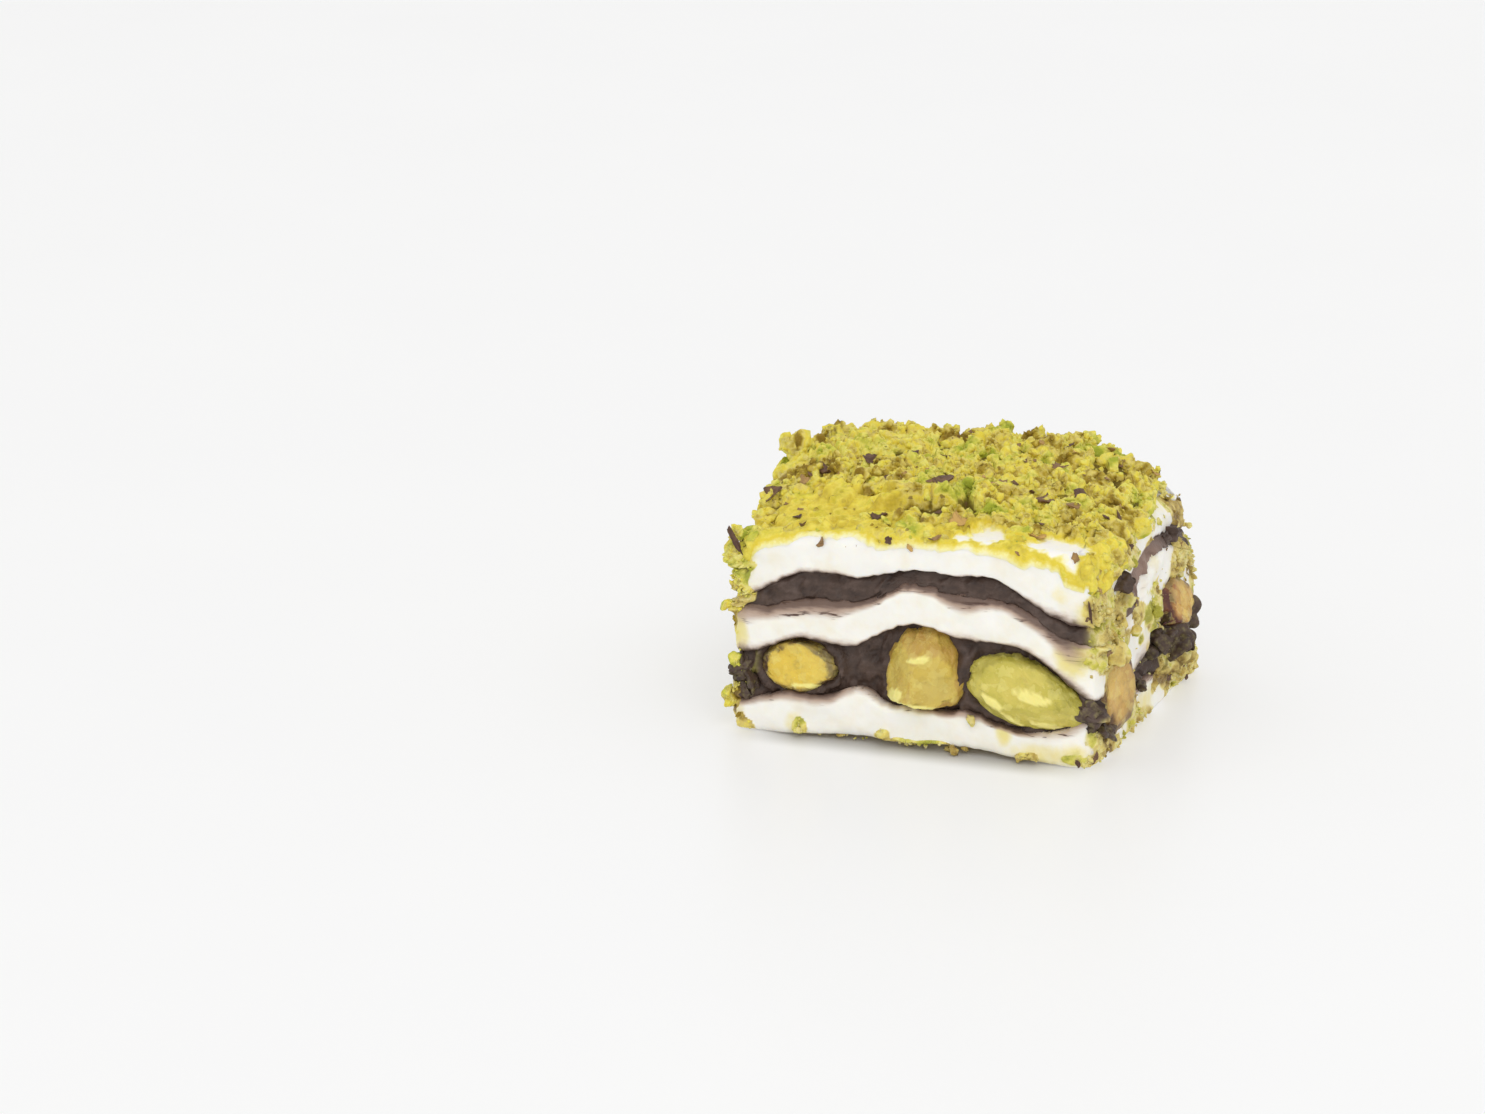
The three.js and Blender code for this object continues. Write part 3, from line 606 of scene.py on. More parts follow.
def lokum_finish():
    """Soft white lokum: marks crust, stain, smear and film give crumbs, pistachio oil and chocolate."""
    made = Finish("lokum", Subsurface_Weight=0.35, Subsurface_Scale=1.2 * MM,
                  Subsurface_Radius=(1, 0.85, 0.6), Specular_IOR_Level=0.4)
    fine, broad = made.noise(0.5), made.noise(3.0)
    base = made.blend(broad.step(0.4, 0.8), WHITE, CREAM)
    streaks = made.noise(0.6, 4, (5, 5, 1))
    stain = made.mark("stain") + 0.5 * (made.noise(1.2, 4) - 0.5)
    base = made.blend(stain.step(0.25, 0.95), base, STAINED)
    smear = made.mark("smear") + 0.4 * (streaks - 0.5)
    base = made.blend(smear.step(0.2, 0.9) * 0.95, base, TAN)
    base = made.blend(smear.step(0.8, 1.1) * 0.8, base, DARK_FILM)
    lines = (made.noise(1.3, 3, (7, 7, 1)) - 0.5) ** 2.0
    drawn = lines.step(0.0008, 0.0001) * smear.step(0.3, 0.6) * streaks.step(0.5, 0.65)
    base = made.blend(drawn, base, DARK_FILM)
    film = made.mark("film") + 0.7 * (made.noise(0.8, 4, (2, 2, 1)) - 0.5)
    base = made.blend(film.step(0.2, 0.75) * 0.6, base, TAN)
    base = made.blend(film.step(0.6, 1.0) * 0.9, base, DARK_FILM)
    crumbed = made.mark("crust").step(0.04, 0.2)
    # the crumbs' colour, with painted shade where lift is low
    crumbs = crushed(made, made.noise(0.5), made.mark("lift"), made.mark("pressed"))
    base = made.blend(crumbed, base, crumbs)
    relief = fine * 0.3 + broad * 0.5 + crumbed * made.noise(0.3, 4) * 1.6
    return made.surface(base, made.noise(2.0) * 0.2 + 0.38, relief, 0.4, 0.25)


def chocolate_finish():
    """Dark chocolate paste with the knife's drag lines in it: marks milky, dust and crust give the film,
    the pistachio dust and the crumbs on it."""
    made = Finish("chocolate", Specular_IOR_Level=0.35)
    drag = made.noise(0.6, 4, (4, 4, 1))
    patches = made.noise(1.8, 4)
    base = made.ramp(drag * 0.35 + patches * 0.65, (0.3, paint(54, 41, 37)), (0.5, CHOCOLATE),
                     (0.68, paint(98, 80, 72)), (0.8, paint(126, 100, 86)))
    base = made.blend(made.mark("milky") * 0.8, base, MILKY)
    dust = made.mark("dust") + 0.6 * (made.noise(0.6, 4) - 0.5)
    base = made.blend(dust.step(0.5, 0.8) * 0.8, base, CHOCOLATE_DUST)
    crumbed = made.mark("crust").step(0.1, 0.3)
    # the crumbs' colour, with painted shade where lift is low
    base = made.blend(crumbed, base, crushed(made, made.noise(0.5), made.mark("lift"), 0.8))
    relief = drag * 0.6 + made.noise(0.3, 3) * 0.6 + crumbed * made.noise(0.3, 4) * 1.6
    return made.surface(base, patches * 0.3 + 0.28 + crumbed * 0.3, relief, 0.6, 0.25)


# Each kind of kernel: its cut flesh, the flesh near the cut's rim, and its outside.
KERNEL_KINDS = {
    "yellow": ((234, 202, 76), (212, 180, 66), (84, 60, 48)),
    "olive": ((202, 176, 84), (212, 184, 76), (186, 146, 66)),
    "green": ((216, 200, 94), (198, 186, 76), (172, 162, 62)),
    "tan": ((214, 172, 96), (186, 148, 76), (104, 74, 50)),
    "skinned": ((214, 172, 92), (160, 104, 58), (88, 40, 28)),
}


def kernel_finish(kind):
    """A kernel's waxy flesh where it is cut, and its wrinkled outside. The mark chip is a pale flake."""
    cut, rim, skin = (paint(*colour) for colour in KERNEL_KINDS[kind])
    made = Finish("kernel_" + kind, Subsurface_Weight=0.25, Subsurface_Scale=1.0 * MM,
                  Subsurface_Radius=(1, 0.8, 0.3), Specular_IOR_Level=0.5)
    grain, spots = made.noise(1.2, 5, (1, 1, 2)), made.noise(0.35, 3)
    flesh = made.blend(made.mark("rim") * 0.9, cut, rim)
    flesh = made.blend(grain.step(0.45, 0.75) * 0.5, flesh, rim)
    outside = made.blend(grain.step(0.4, 0.7) * 0.6, skin, rim)
    base = made.blend(made.mark("cut"), outside, flesh)
    base = made.blend(made.noise(2.2, 3).step(0.55, 0.75) * 0.4, base, skin)
    base = made.blend(spots.step(0.62, 0.78) * 0.4, base, paint(246, 232, 150))
    base = made.blend(spots.step(0.32, 0.26) * 0.35, base, paint(150, 120, 50))
    plates, flakes = made.cells(2.0, "Color", 1.2), made.cells(0.9, "Color", 0.8)
    base = made.blend(plates.step(0.5, 0.75) * 0.2, base, paint(240, 222, 126))
    base = made.blend(plates.step(0.4, 0.2) * 0.22, base, rim)
    base = made.blend(flakes.step(0.62, 0.7) * (0.28 if kind == "green" else 0.2), base, paint(240, 230, 140))
    base = made.blend(made.mark("chip"), base, paint(246, 234, 140))
    relief = grain * 0.9 + spots * 0.5 + plates * 1.0 + flakes * 0.5
    return made.surface(base, grain * 0.3 + 0.28, relief, 0.6, 0.35)


def bed_finish():
    """The mass of crushed pistachio: marks lift (0 in the crevices, where shade is painted), powder, and fade
    towards the hem.
    """
    made = Finish("pistachio_bed", Specular_IOR_Level=0.15, Subsurface_Weight=0.3,
                  Subsurface_Scale=0.8 * MM, Subsurface_Radius=(1, 0.9, 0.35))
    base = crushed(made, made.noise(0.8, 4), made.mark("lift"))
    powder = made.mark("powder") + 0.5 * (made.noise(1.5, 4) - 0.5)
    powdered = powder.step(0.3, 0.8)
    base = made.blend(powdered * 0.8, base, made.ramp(made.noise(2.2, 4), *POWDER))
    # painted shade: the lowest places of the bed darken further
    base = made.blend(made.mark("lift").step(0.16, 0.0) * 0.75, base, DEEP_CREVICE_SHADE)
    skins = made.cells(1.9) + 0.5 * (made.noise(0.5) - 0.5)
    base = made.blend(skins.step(0.16, 0.1) * (0.7 - 0.5 * powdered), base, SKIN_CRUMB)
    fade = made.mark("fade") + 0.7 * (made.noise(1.3, 4) - 0.5) + 0.3 * (made.noise(0.4, 2) - 0.5)
    base = made.blend(fade.step(0.06, 0.32), base, HEM_YELLOW)
    base = made.blend(fade.step(0.22, 0.62), base, HEM_PALE)
    base = made.blend(fade.step(0.48, 0.98), base, WHITE)
    grit = made.noise(0.5, 4) + made.noise(0.2, 2) * 0.4
    relief = grit * (1 - fade.step(0.1, 0.6) * 0.85) * (1 - powdered * 0.4)
    return made.surface(base, made.noise(1.0) * 0.2 + 0.6, relief, 0.8, 0.3)


def crumb_finish():
    """Loose crumbs: the mark tint picks each crumb's colour, and lift is 0 on the underside of each crumb,
    where shade is painted.
    """
    made = Finish("pistachio_crumb", Specular_IOR_Level=0.15, Subsurface_Weight=0.3,
                  Subsurface_Scale=0.8 * MM, Subsurface_Radius=(1, 0.9, 0.35))
    tint = made.mark("tint") + 0.3 * (made.noise(0.5, 3) - 0.5)
    base = crushed(made, tint, made.mark("lift"), made.mark("pressed"))
    return made.surface(base, made.noise(0.8) * 0.2 + 0.6, made.noise(0.35, 4), 0.7, 0.3)


def skin_finish():
    """Papery scraps of the kernels' skin."""
    made = Finish("pistachio_skin", Specular_IOR_Level=0.4)
    base = made.ramp(made.mark("tint") + 0.6 * (made.noise(0.5, 4) - 0.5), *SKIN)
    return made.surface(base, 0.5 + made.noise(0.6) * 0.2, made.noise(0.25, 3), 0.5, 0.15)


# The strength of the floor's painted glow, which thins the shadows on it.
FLOOR_GLOW = 0.395


def floor_finish():
    """A white floor with a painted glow, which makes the shadows on it faint, and a painted dark shadow where
    the glow turns dark brown under the piece and just in front of it."""
    made = Finish("pale_floor", Specular_IOR_Level=0.3, Emission_Strength=FLOOR_GLOW)
    x, y = (made.node("SeparateXYZ", {}, {0: made.place}, axis) for axis in "XY")
    # painted shadow: under the piece and up to 4 mm in front of it the glow is dark brown
    painted_shadow = y.step(F - 4, F + 0.6) * y.step(B, B - 4) * x.step(-23, -13) * x.step(23, 12)
    glow = made.blend(painted_shadow, paint(255, 255, 255), paint(70, 56, 24))
    made.feed("Emission Color", glow)
    tone = made.blend(made.noise(60.0, 2), paint(189, 189, 189), paint(192, 192, 191))
    return made.surface(tone, made.noise(40.0) * 0.1 + 0.35)


# ---------------------------------------------------------------- the white sheets

SHEET_AROUND = 560
WALL_ROWS = 11
# Rings under and over each sheet, as shares of the plan. The top sheet's are close together where the coat
# leaves its roof bare.
FOOT_SHARES = {"bottom": (0.4, 0.75, 0.9), "middle": (0.4, 0.75, 0.9), "top": (0.4, 0.75, 0.85)}
CAP_SHARES = {"bottom": (0.9, 0.75, 0.4), "middle": (0.9, 0.75, 0.4),
              "top": (0.88, 0.85, 0.82, 0.79, 0.76, 0.73, 0.7, 0.6, 0.4)}
SHEET_TALL = {"bottom": 5, "middle": 4.5, "top": 6}  # about how thick each sheet is


def sheet_piece(name, finish):
    """A white sheet: its floor, its wall with the crumbs pressed onto it, and its roof."""
    sheet = SHEETS[name]
    s = np.arange(SHEET_AROUND) * 4 / SHEET_AROUND
    shares = sheet.shares(s, WALL_ROWS)
    wall = sheet.wall_points(np.broadcast_to(s, shares.shape), shares)
    foot = [(outline(s, share), sheet.floor) for share in FOOT_SHARES[name]]
    cap = [(outline(s, share), sheet.roof) for share in CAP_SHARES[name]]
    foot, cap = (np.array([np.concatenate([flat, field(flat)[:, None]], -1) for flat, field in rows])
                 for rows in (foot, cap))
    around = np.tile(s, len(shares))
    flat_wall = wall.reshape(-1, 3)
    out = outline(around, 1.0, 1.0) - outline(around)
    thick = crust(flat_wall, around)
    relief, lift = crust_relief(flat_wall)
    thick = thick * smooth(0, 0.08, shares.ravel()) * smooth(1, 0.94, shares.ravel())
    flat_wall[:, :2] += out * (thick * (0.45 + relief))[:, None]
    marks = sheet_marks(name, flat_wall, around, shares.ravel(), thick)
    # lift: painted shade in the crust's crevices, none where the crust is thin
    marks = {"crust": thick, "lift": np.maximum(lift, smooth(0.5, 0.1, thick)),
             "pressed": by_side(around, 0.4, 0.8, 0.8, 0.1), **marks}
    middle = plan(np.zeros(1), np.zeros(1))
    first, last = (np.append(middle[0], h(middle)[0]) for h in (sheet.floor, sheet.roof))
    rings = np.concatenate([foot, flat_wall.reshape(wall.shape), cap])
    points, faces = closed(rings, first, last)
    roof = {"smear": 0.0 if name == "top" else 1.0}
    marks = {mark: np.concatenate([np.zeros(len(foot) * SHEET_AROUND), values,
                                   np.full(len(cap) * SHEET_AROUND + 2, roof.get(mark, 0.0))])
             for mark, values in marks.items()}
    return piece(name + "_sheet", points, faces, finish, "lokum", [name + "_lokum_sheet"], **marks)


# Where pistachio oil and powder stain the sheets: s, height, half length, half height and strength.
STAINS = [
    (0.17, 1.6, 1.4, 1.6, 0.7), (0.41, 0.8, 1.4, 1.2, 0.6), (0.754, 3.2, 1.2, 1.8, 0.9),
    (0.95, 1.6, 2.2, 1.6, 0.8), (0.0, 12, 1.8, 3.6, 0.85), (0.0, 2.5, 1.2, 2, 0.6),
    (0.94, 13.4, 2.6, 3.4, 0.9), (0.97, 16, 1.6, 3, 0.6), (0.9, 20.5, 1.6, 1.5, 0.6),
    (0.86, 1.0, 5.0, 1.8, 0.75), (0.0, 21, 2.4, 4, 0.8), (0.5, 0.2, 9, 0.5, 0.4),
    (1.2, 13.5, 2.4, 3, 0.8), (1.5, 2, 4, 2.4, 0.7), (1.75, 13.5, 3, 4, 0.7), (1.6, 22, 3, 2, 0.6),
]


def sheet_marks(name, points, s, share, thick):
    """Where pistachio oil, chocolate smears and brown film lie on a sheet's wall, from 0 to 1."""
    z = points[:, 2]
    front = by_side(s, 1.0, 0.0, 0.0, 0.0)
    below, above = share * SHEET_TALL[name], (1 - share) * SHEET_TALL[name]
    patch = 0.5 + 0.5 * rough(points, 3.2, 11)
    stain = (1 - front) * 0.5 * smooth(0.3, 0.8, patch) + 0.8 * smooth(0.0, 0.2, thick)
    for at, middle, long, high, strength in STAINS:
        x, y = outline(at)
        away = ((points[:, 0] - x) ** 2 + (points[:, 1] - y) ** 2) / long ** 2 + ((z - middle) / high) ** 2
        stain = np.maximum(stain, strength * np.exp(-away ** 1.5))
    ripple = 1 + 0.5 * rough(np.stack([s * 11, 0 * s, 0 * s], -1), 1.0, 13) + 0.8 * near(s, 0.93, 0.07)
    smear, film = 0 * s, np.exp(-(below / (0.75 * ripple)) ** 2)
    if name == "middle":
        smear = smooth(2.1, 0.1, above / ripple) * by_side(s, 1.15, 0.35, 0.6, 0.6)
    if name == "bottom":
        film = np.zeros(len(points))
        under_kernels = near(s, 0.2, 0.1) + near(s, 0.7, 0.12) + (1 - front)
        smear = smooth(1.5, 0.0, above / ripple) * np.clip(0.55 + under_kernels, 0, 1.1)
    return {"stain": stain, "smear": smear, "film": film}


# ---------------------------------------------------------------- the fillings

FILLING_AROUND = 640
FILLING_ROWS = 16
FILLING_TUCK = 0.35  # how far a filling reaches into the sheets below and above it


def kernel_turn(yaw, pitch):
    """A kernel's turn from its own axes, with its length along x, into the piece's."""
    return np.array(Matrix.Rotation(np.radians(yaw), 3, "Z") @ Matrix.Rotation(np.radians(-pitch), 3, "Y"))


def kernel_nearness(points, kernel):
    """1 on a kernel's uncut surface, less inside and more outside."""
    at, halves, yaw, pitch = kernel[:4]
    own = (points - at) @ kernel_turn(yaw, pitch)
    slim = 1 - KERNEL_TAPER * np.clip(own[:, 0] / halves[0], -1, 1)
    sizes = np.stack([halves[0] + 0 * slim, halves[1] * slim, halves[2] * slim], -1)
    return np.linalg.norm(own / sizes, axis=-1)


def filling_piece(name, finish):
    """A chocolate filling, torn and lumpy at its sides, with a collar round each kernel in it."""
    below, above = (SHEETS[sheet] for sheet in FILLINGS[name][:2])
    s = np.arange(FILLING_AROUND) * 4 / FILLING_AROUND
    rings, crusts, lifts = [], [], []
    for share in np.linspace(0, 1, FILLING_ROWS):
        outset = filling_outset(name, s, share)
        flat = outline(s, 1.0, outset)
        z = mix(below.roof(flat) - FILLING_TUCK, above.floor(flat) + FILLING_TUCK, share)
        place = np.concatenate([flat, z[:, None]], -1)
        ragged = 0.35 * rough(place * (1, 1, 2), 2.4, 21) + 0.14 * rough(place, 0.8, 22)
        ragged += 0.3 * rough(place, 0.6, 27) * smooth(0.3, 0.0, share)
        own, tilt = grains(stirred(place, 2.0, 0.6, 25), 2.4, 24)[2:]
        ragged += (0.3 * (own - 0.5) + 0.5 * tilt) * (1.7 if name == "lower" else 1.0)
        for kernel in KERNELS.values():
            rim = kernel_nearness(place, kernel)
            ragged = ragged + kernel[5] * np.exp(-((rim - 1.1) / 0.1) ** 2)
        thick = crust(place, s)
        relief, lift = crust_relief(place)
        flat = outline(s, 1.0, outset + ragged + thick * (0.6 + relief))
        rings.append(np.concatenate([flat, z[:, None]], -1))
        crusts.append(thick)
        # lift: painted shade in the crust's crevices, none where the crust is thin
        lifts.append(np.maximum(lift, smooth(0.5, 0.1, thick)))
    inner = outline(s, 0.85)
    low, high = below.roof, above.floor
    rings = [np.concatenate([inner, low(inner)[:, None] - FILLING_TUCK], -1), *rings,
             np.concatenate([inner, high(inner)[:, None] + FILLING_TUCK], -1)]
    middle = plan(np.zeros(1), np.zeros(1))
    points, faces = closed(np.array(rings), np.append(middle[0], low(middle)[0]),
                           np.append(middle[0], high(middle)[0]))
    around = np.append(np.tile(s, len(rings)), [0, 0])
    milky = near(around, 1.5, 0.18) * (name == "upper")
    dust = by_side(around, 0.0, 0.55, 0.4, 0.4) * (0.7 + 0.5 * rough(points, 2.5, 23))
    ends = (np.zeros(FILLING_AROUND), np.zeros(FILLING_AROUND + 2))
    thick, lift = (np.concatenate([ends[0], *rows, ends[1]]) for rows in (crusts, lifts))
    return piece(name + "_filling", points, faces, finish, "chocolate", [name + "_chocolate_filling"],
                 milky=milky, dust=dust, crust=thick, lift=lift)


# ---------------------------------------------------------------- the kernels

KERNEL_AROUND, KERNEL_ALONG = 84, 54
CUT_SOFTNESS = 0.18
SKIN_RING = 0.22  # how wide the skin shows round the cut of a yellow kernel
CHIP_RISE = 0.15


def chip_share(name, points, salt):
    """1 on a kernel's pale chips and 0 elsewhere, seen from the front."""
    chip = np.zeros(len(points))
    for x, z, long, tall, tilt in CHIPS.get(name, []):
        dx, dz = points[:, 0] - x, points[:, 2] - z
        turn = np.radians(tilt)
        along = dx * np.cos(turn) + dz * np.sin(turn)
        across = dz * np.cos(turn) - dx * np.sin(turn)
        away = np.hypot(along / long, across / tall) + 0.45 * rough(points, 0.7, salt)
        chip = np.maximum(chip, smooth(1.15, 0.9, away))
    return chip


def kernel_piece(name, kernel, finish):
    """An egg-shaped kernel, wrinkled along its length, with the knife's flat cuts."""
    at, halves, yaw, pitch, cuts = kernel[:5]
    ring = SKIN_RING if kernel[-1] == "yellow" else 0.0
    lat = np.linspace(0, np.pi, KERNEL_ALONG + 2)[1:-1, None]
    lon = np.arange(KERNEL_AROUND) * 2 * np.pi / KERNEL_AROUND
    wide = np.sin(lat)
    if name == "front_middle":
        blunt = (1 - np.cos(lat) ** KERNEL_BLUNTNESS) ** (1 / KERNEL_BLUNTNESS)
        wide = np.where(lat < np.pi / 2, blunt, wide)
    rings = np.stack([-np.cos(lat) + 0 * lon, wide * np.cos(lon), wide * np.sin(lon)], -1)
    egg, faces = closed(rings, (-1, 0, 0), (1, 0, 0))
    salt = 31 + len(name)
    wrinkles = 1 + 0.05 * rough(egg * (1.0, 3.2, 3.2), 1.0, salt) + 0.025 * rough(egg * (2, 9, 9), 1.0, salt)
    slim = 1 - KERNEL_TAPER * egg[:, :1]
    wrinkles += 0.07 * grains(stirred(egg, 0.5, 0.15, salt), 0.45, salt)[3]
    sizes = np.concatenate([0 * slim + halves[0], halves[1] * slim, halves[2] * slim], -1)
    egg = egg * sizes * wrinkles[:, None]
    points = egg @ kernel_turn(yaw, pitch).T
    cut = np.zeros(len(points))
    rim = np.zeros(len(points))
    for direction, distance in cuts:
        normal = np.array(direction) / np.linalg.norm(direction)
        past = points @ normal - distance + 0.16 * rough(points, 1.6, salt) + 0.06 * rough(points, 0.6, salt)
        past = past + 0.22 * grains(stirred(points, 1.5, 0.4, salt), 2.2, salt)[3]
        held = -CUT_SOFTNESS * np.logaddexp(0, -past / CUT_SOFTNESS)
        points = points + np.outer(held - past, normal)
        cut = np.maximum(cut, smooth(ring - 0.1, ring + 0.2, past))
        rim = np.maximum(rim, smooth(-0.1, 0.1, past - ring) * smooth(0.9, 0.1, past - ring))
    points = points + at
    chip = chip_share(name, points, salt + 1) * (points[:, 1] < at[1])
    points[:, 1] -= CHIP_RISE * chip
    return piece("kernel_" + name, points, faces, finish, "pistachio_kernel",
                 ["pistachio_" + name], cut=cut, rim=rim, chip=chip)


# ---------------------------------------------------------------- the bed of crushed pistachio

BED_CELLS = (244, 196)
BED_SHARE = 0.86
SKIRT_ROWS = 34
BED_THICK = 0.65
FILM_THICK = 0.13  # the powder's thickness where no crumb lies
HEM_DEPTH = -0.4  # the hem dips into the sheet, so that it has no edge
UNDERSIDE_DEPTH = 3.0
# How far the hem lies from the edge of the bed's flat part, over the top sheet's rounded shoulder: s, arc.
HEM = [
    (0.02, 8.5), (0.06, 5.6), (0.11, 4.5), (0.2, 3.8), (0.33, 3.0), (0.42, 3.9), (0.475, 4.5),
    (0.545, 3.3), (0.6, 3.1), (0.735, 4.2), (0.845, 5.1), (0.895, 5.7), (0.922, 8.6), (0.95, 8.8),
    (0.975, 6.8), (1.04, 8.0), (1.13, 8.8), (1.32, 5.2), (1.55, 2.9), (1.7, 3.6), (1.92, 4.6),
    (2.5, 4.6), (3.0, 5.5), (3.5, 7.4), (3.97, 9.5),
]
# Places near the front edge that the crumbs have left bare: x, y, half width, half depth.
BARE_SPOTS = [
    (7.3, -14.5, 1.7, 1.9), (15.5, -15.2, 2.9, 1.8), (4.6, -16.0, 0.8, 0.8), (17.8, -16.2, 1.3, 1.1),
]
# Clods and grains heaped in the bed and in the crust on the sides: size, rise and salt.
BED_CLODS = ((3.7, 1.3, 62), (1.7, 0.75, 72), (0.85, 0.36, 82), (0.42, 0.16, 92))
CRUST_CLODS = ((1.5, 0.5, 162), (0.7, 0.35, 172))
SOFTENING = 0.2  # how far the bed's relief is averaged over


def bareness(points):
    """1 at the bare spots and 0 elsewhere, with ragged edges."""
    bare = np.zeros(len(points))
    ragged = 0.5 * rough(points, 1.3, 91) + 0.3 * rough(points, 0.5, 92)
    for x, y, wide, deep in BARE_SPOTS:
        away = np.hypot((points[:, 0] - x) / wide, (points[:, 1] - y) / deep) + ragged
        bare = np.maximum(bare, smooth(1.9, 0.7, away))
    return bare


def hem_arc(s):
    """How far the bed reaches over the shoulder, with its ragged edge."""
    place = np.stack([s * 9, 0 * s, 0 * s], -1)
    ragged = 0.3 * rough(place, 1.0, 41) + 0.35 * rough(place * 3.1, 1.0, 42)
    ragged += 0.2 * rough(place * 9, 1.0, 43)
    at, arc = np.transpose(HEM)
    return np.interp(s, at, arc, period=4) + 0.5 + ragged * by_side(s, 1.1, 1.5, 1.5, 1.5)


def shoulder_path(s):
    """The way at each s from the bed's flat part down the top sheet's wall: its points, and how far along
    it each one is."""
    sheet = SHEETS["top"]
    high_share, high_inset = sheet.high(s)
    lip = outline(s, 1.0, sheet.outset(s) - high_inset)
    shelf = mix(outline(s, BED_SHARE), lip, np.linspace(0, 1, 8)[:-1, None, None])
    shelf = np.concatenate([shelf, top_roof(shelf)[..., None]], -1)
    turn = np.linspace(0, 1, 60)[:, None]
    share = 1 - high_share * (1 - np.cos(np.minimum(turn * 2, 1) * np.pi / 2))
    share = share - 0.35 * np.maximum(turn * 2 - 1, 0)
    path = np.concatenate([shelf, sheet.wall_points(np.broadcast_to(s, share.shape), share)])
    steps = np.linalg.norm(np.diff(path, axis=0), axis=-1)
    return path, np.concatenate([0 * s[None], np.cumsum(steps, 0)])


def bed_base():
    """The bed's base: a grid over the flat of the top sheet and a skirt over its shoulder. Gives its points
    and faces, its lowest ring, how far each point is from the hem, and its s, which is -1 on the grid."""
    across, deep = BED_CELLS
    u, v = np.meshgrid(np.linspace(-1, 1, across + 1), np.linspace(-1, 1, deep + 1))
    u, v = u.ravel(), v.ravel()
    flat = plan(u * BED_SHARE, v * BED_SHARE)
    grid = np.concatenate([flat, top_roof(flat)[:, None]], -1)
    number = np.arange(len(grid)).reshape(deep + 1, across + 1)
    a, b, c, d = number[:-1, :-1], number[:-1, 1:], number[1:, 1:], number[1:, :-1]
    faces = np.stack([np.stack([a, b, c], -1), np.stack([a, c, d], -1)]).reshape(-1, 3)
    rim = np.concatenate([number[0, :-1], number[:-1, -1], number[-1, :0:-1], number[:0:-1, 0]])
    s = np.concatenate([side + np.arange(n) / n for side, n in enumerate((across, deep, across, deep))])
    path, length = shoulder_path(s)
    hem = np.minimum(hem_arc(s), length[-1] - 0.3)
    rows = np.linspace(0, 1, SKIRT_ROWS + 1)[1:, None] * hem
    skirt = np.empty((SKIRT_ROWS, len(s), 3))
    for k in range(len(s)):
        for axis in range(3):
            skirt[:, k, axis] = np.interp(rows[:, k], length[:, k], path[:, k, axis])
    below = len(grid) + np.arange(SKIRT_ROWS * len(s)).reshape(SKIRT_ROWS, -1)
    above = np.concatenate([rim[None], below[:-1]])
    above_ahead, below_ahead = (np.roll(ring, -1, axis=1) for ring in (above, below))
    for corners in ((below, below_ahead, above_ahead), (below, above_ahead, above)):
        faces = np.concatenate([faces, np.stack(corners, -1).reshape(-1, 3)])
    points = np.concatenate([grid, skirt.reshape(-1, 3)])
    reach = np.maximum(np.maximum(np.abs(u), np.abs(v)), 1e-9)
    toward = np.select([-v >= reach, u >= reach, v >= reach],
                       [(1 + u / reach) / 2, (3 + v / reach) / 2, (5 - u / reach) / 2], (7 - v / reach) / 2)
    to_hem = edge_distance(flat) + np.interp(toward, s, hem, period=4)
    to_hem = np.concatenate([to_hem, (hem - rows).ravel()])
    around = np.concatenate([np.full(len(grid), -1.0), np.tile(s, SKIRT_ROWS)])
    return points, faces, below[-1], to_hem, around


def edge_distance(flat):
    """How far a point of the bed's flat part is from its rim."""
    x, y = flat.T
    return np.minimum.reduce([x + FRONT_LEFT * BED_SHARE, FRONT_RIGHT * BED_SHARE - x,
                              y + HALF_DEPTH * BED_SHARE, HALF_DEPTH * BED_SHARE - y]).clip(0)


POWDER_X, POWDER_Y = -12, -13  # the middle of the powdery patch
POWDER_STRETCH = 1.25
GRITTY_X, GRITTY_HALF = -3.5, 3.2  # where the front edge has crumbs in place of powder


def powder_share(points):
    """1 where the coat is fine bright powder, at the front left, and 0 elsewhere."""
    x, y = points[:, 0], points[:, 1]
    left = smooth(9.0, 5.0, np.hypot((x - POWDER_X) / POWDER_STRETCH, y - POWDER_Y))
    gritty = np.exp(-((x - GRITTY_X) / GRITTY_HALF) ** 2)
    front = 0.9 * smooth(-11.0, -14.0, y) * (1 - 0.9 * gritty)
    return np.maximum(left, front)


LEDGE_X, LEDGE_Y, LEDGE_SLOPE = 1, -8.6, 0.2  # a point of the ledge's edge, and how the edge slants
LEDGE_RISE, LEDGE_CREVICE = 1.5, 0.9


def ledge(points):
    """A crust whose broken front edge stands over a crevice: its rise, and 1 in the crevice."""
    x, y = points[:, 0], points[:, 1]
    behind = y - LEDGE_Y - LEDGE_SLOPE * (x - LEDGE_X) + 0.6 * rough(points, 1.5, 51)
    span = smooth(-8.5, -6.5, x) * smooth(5.5, 3.5, x)
    crevice = span * smooth(-1.5, -0.7, behind) * smooth(0.2, -0.1, behind)
    rise = LEDGE_RISE * span * smooth(0.0, 0.3, behind) * smooth(6.0, 1.0, behind)
    return rise - LEDGE_CREVICE * crevice, crevice


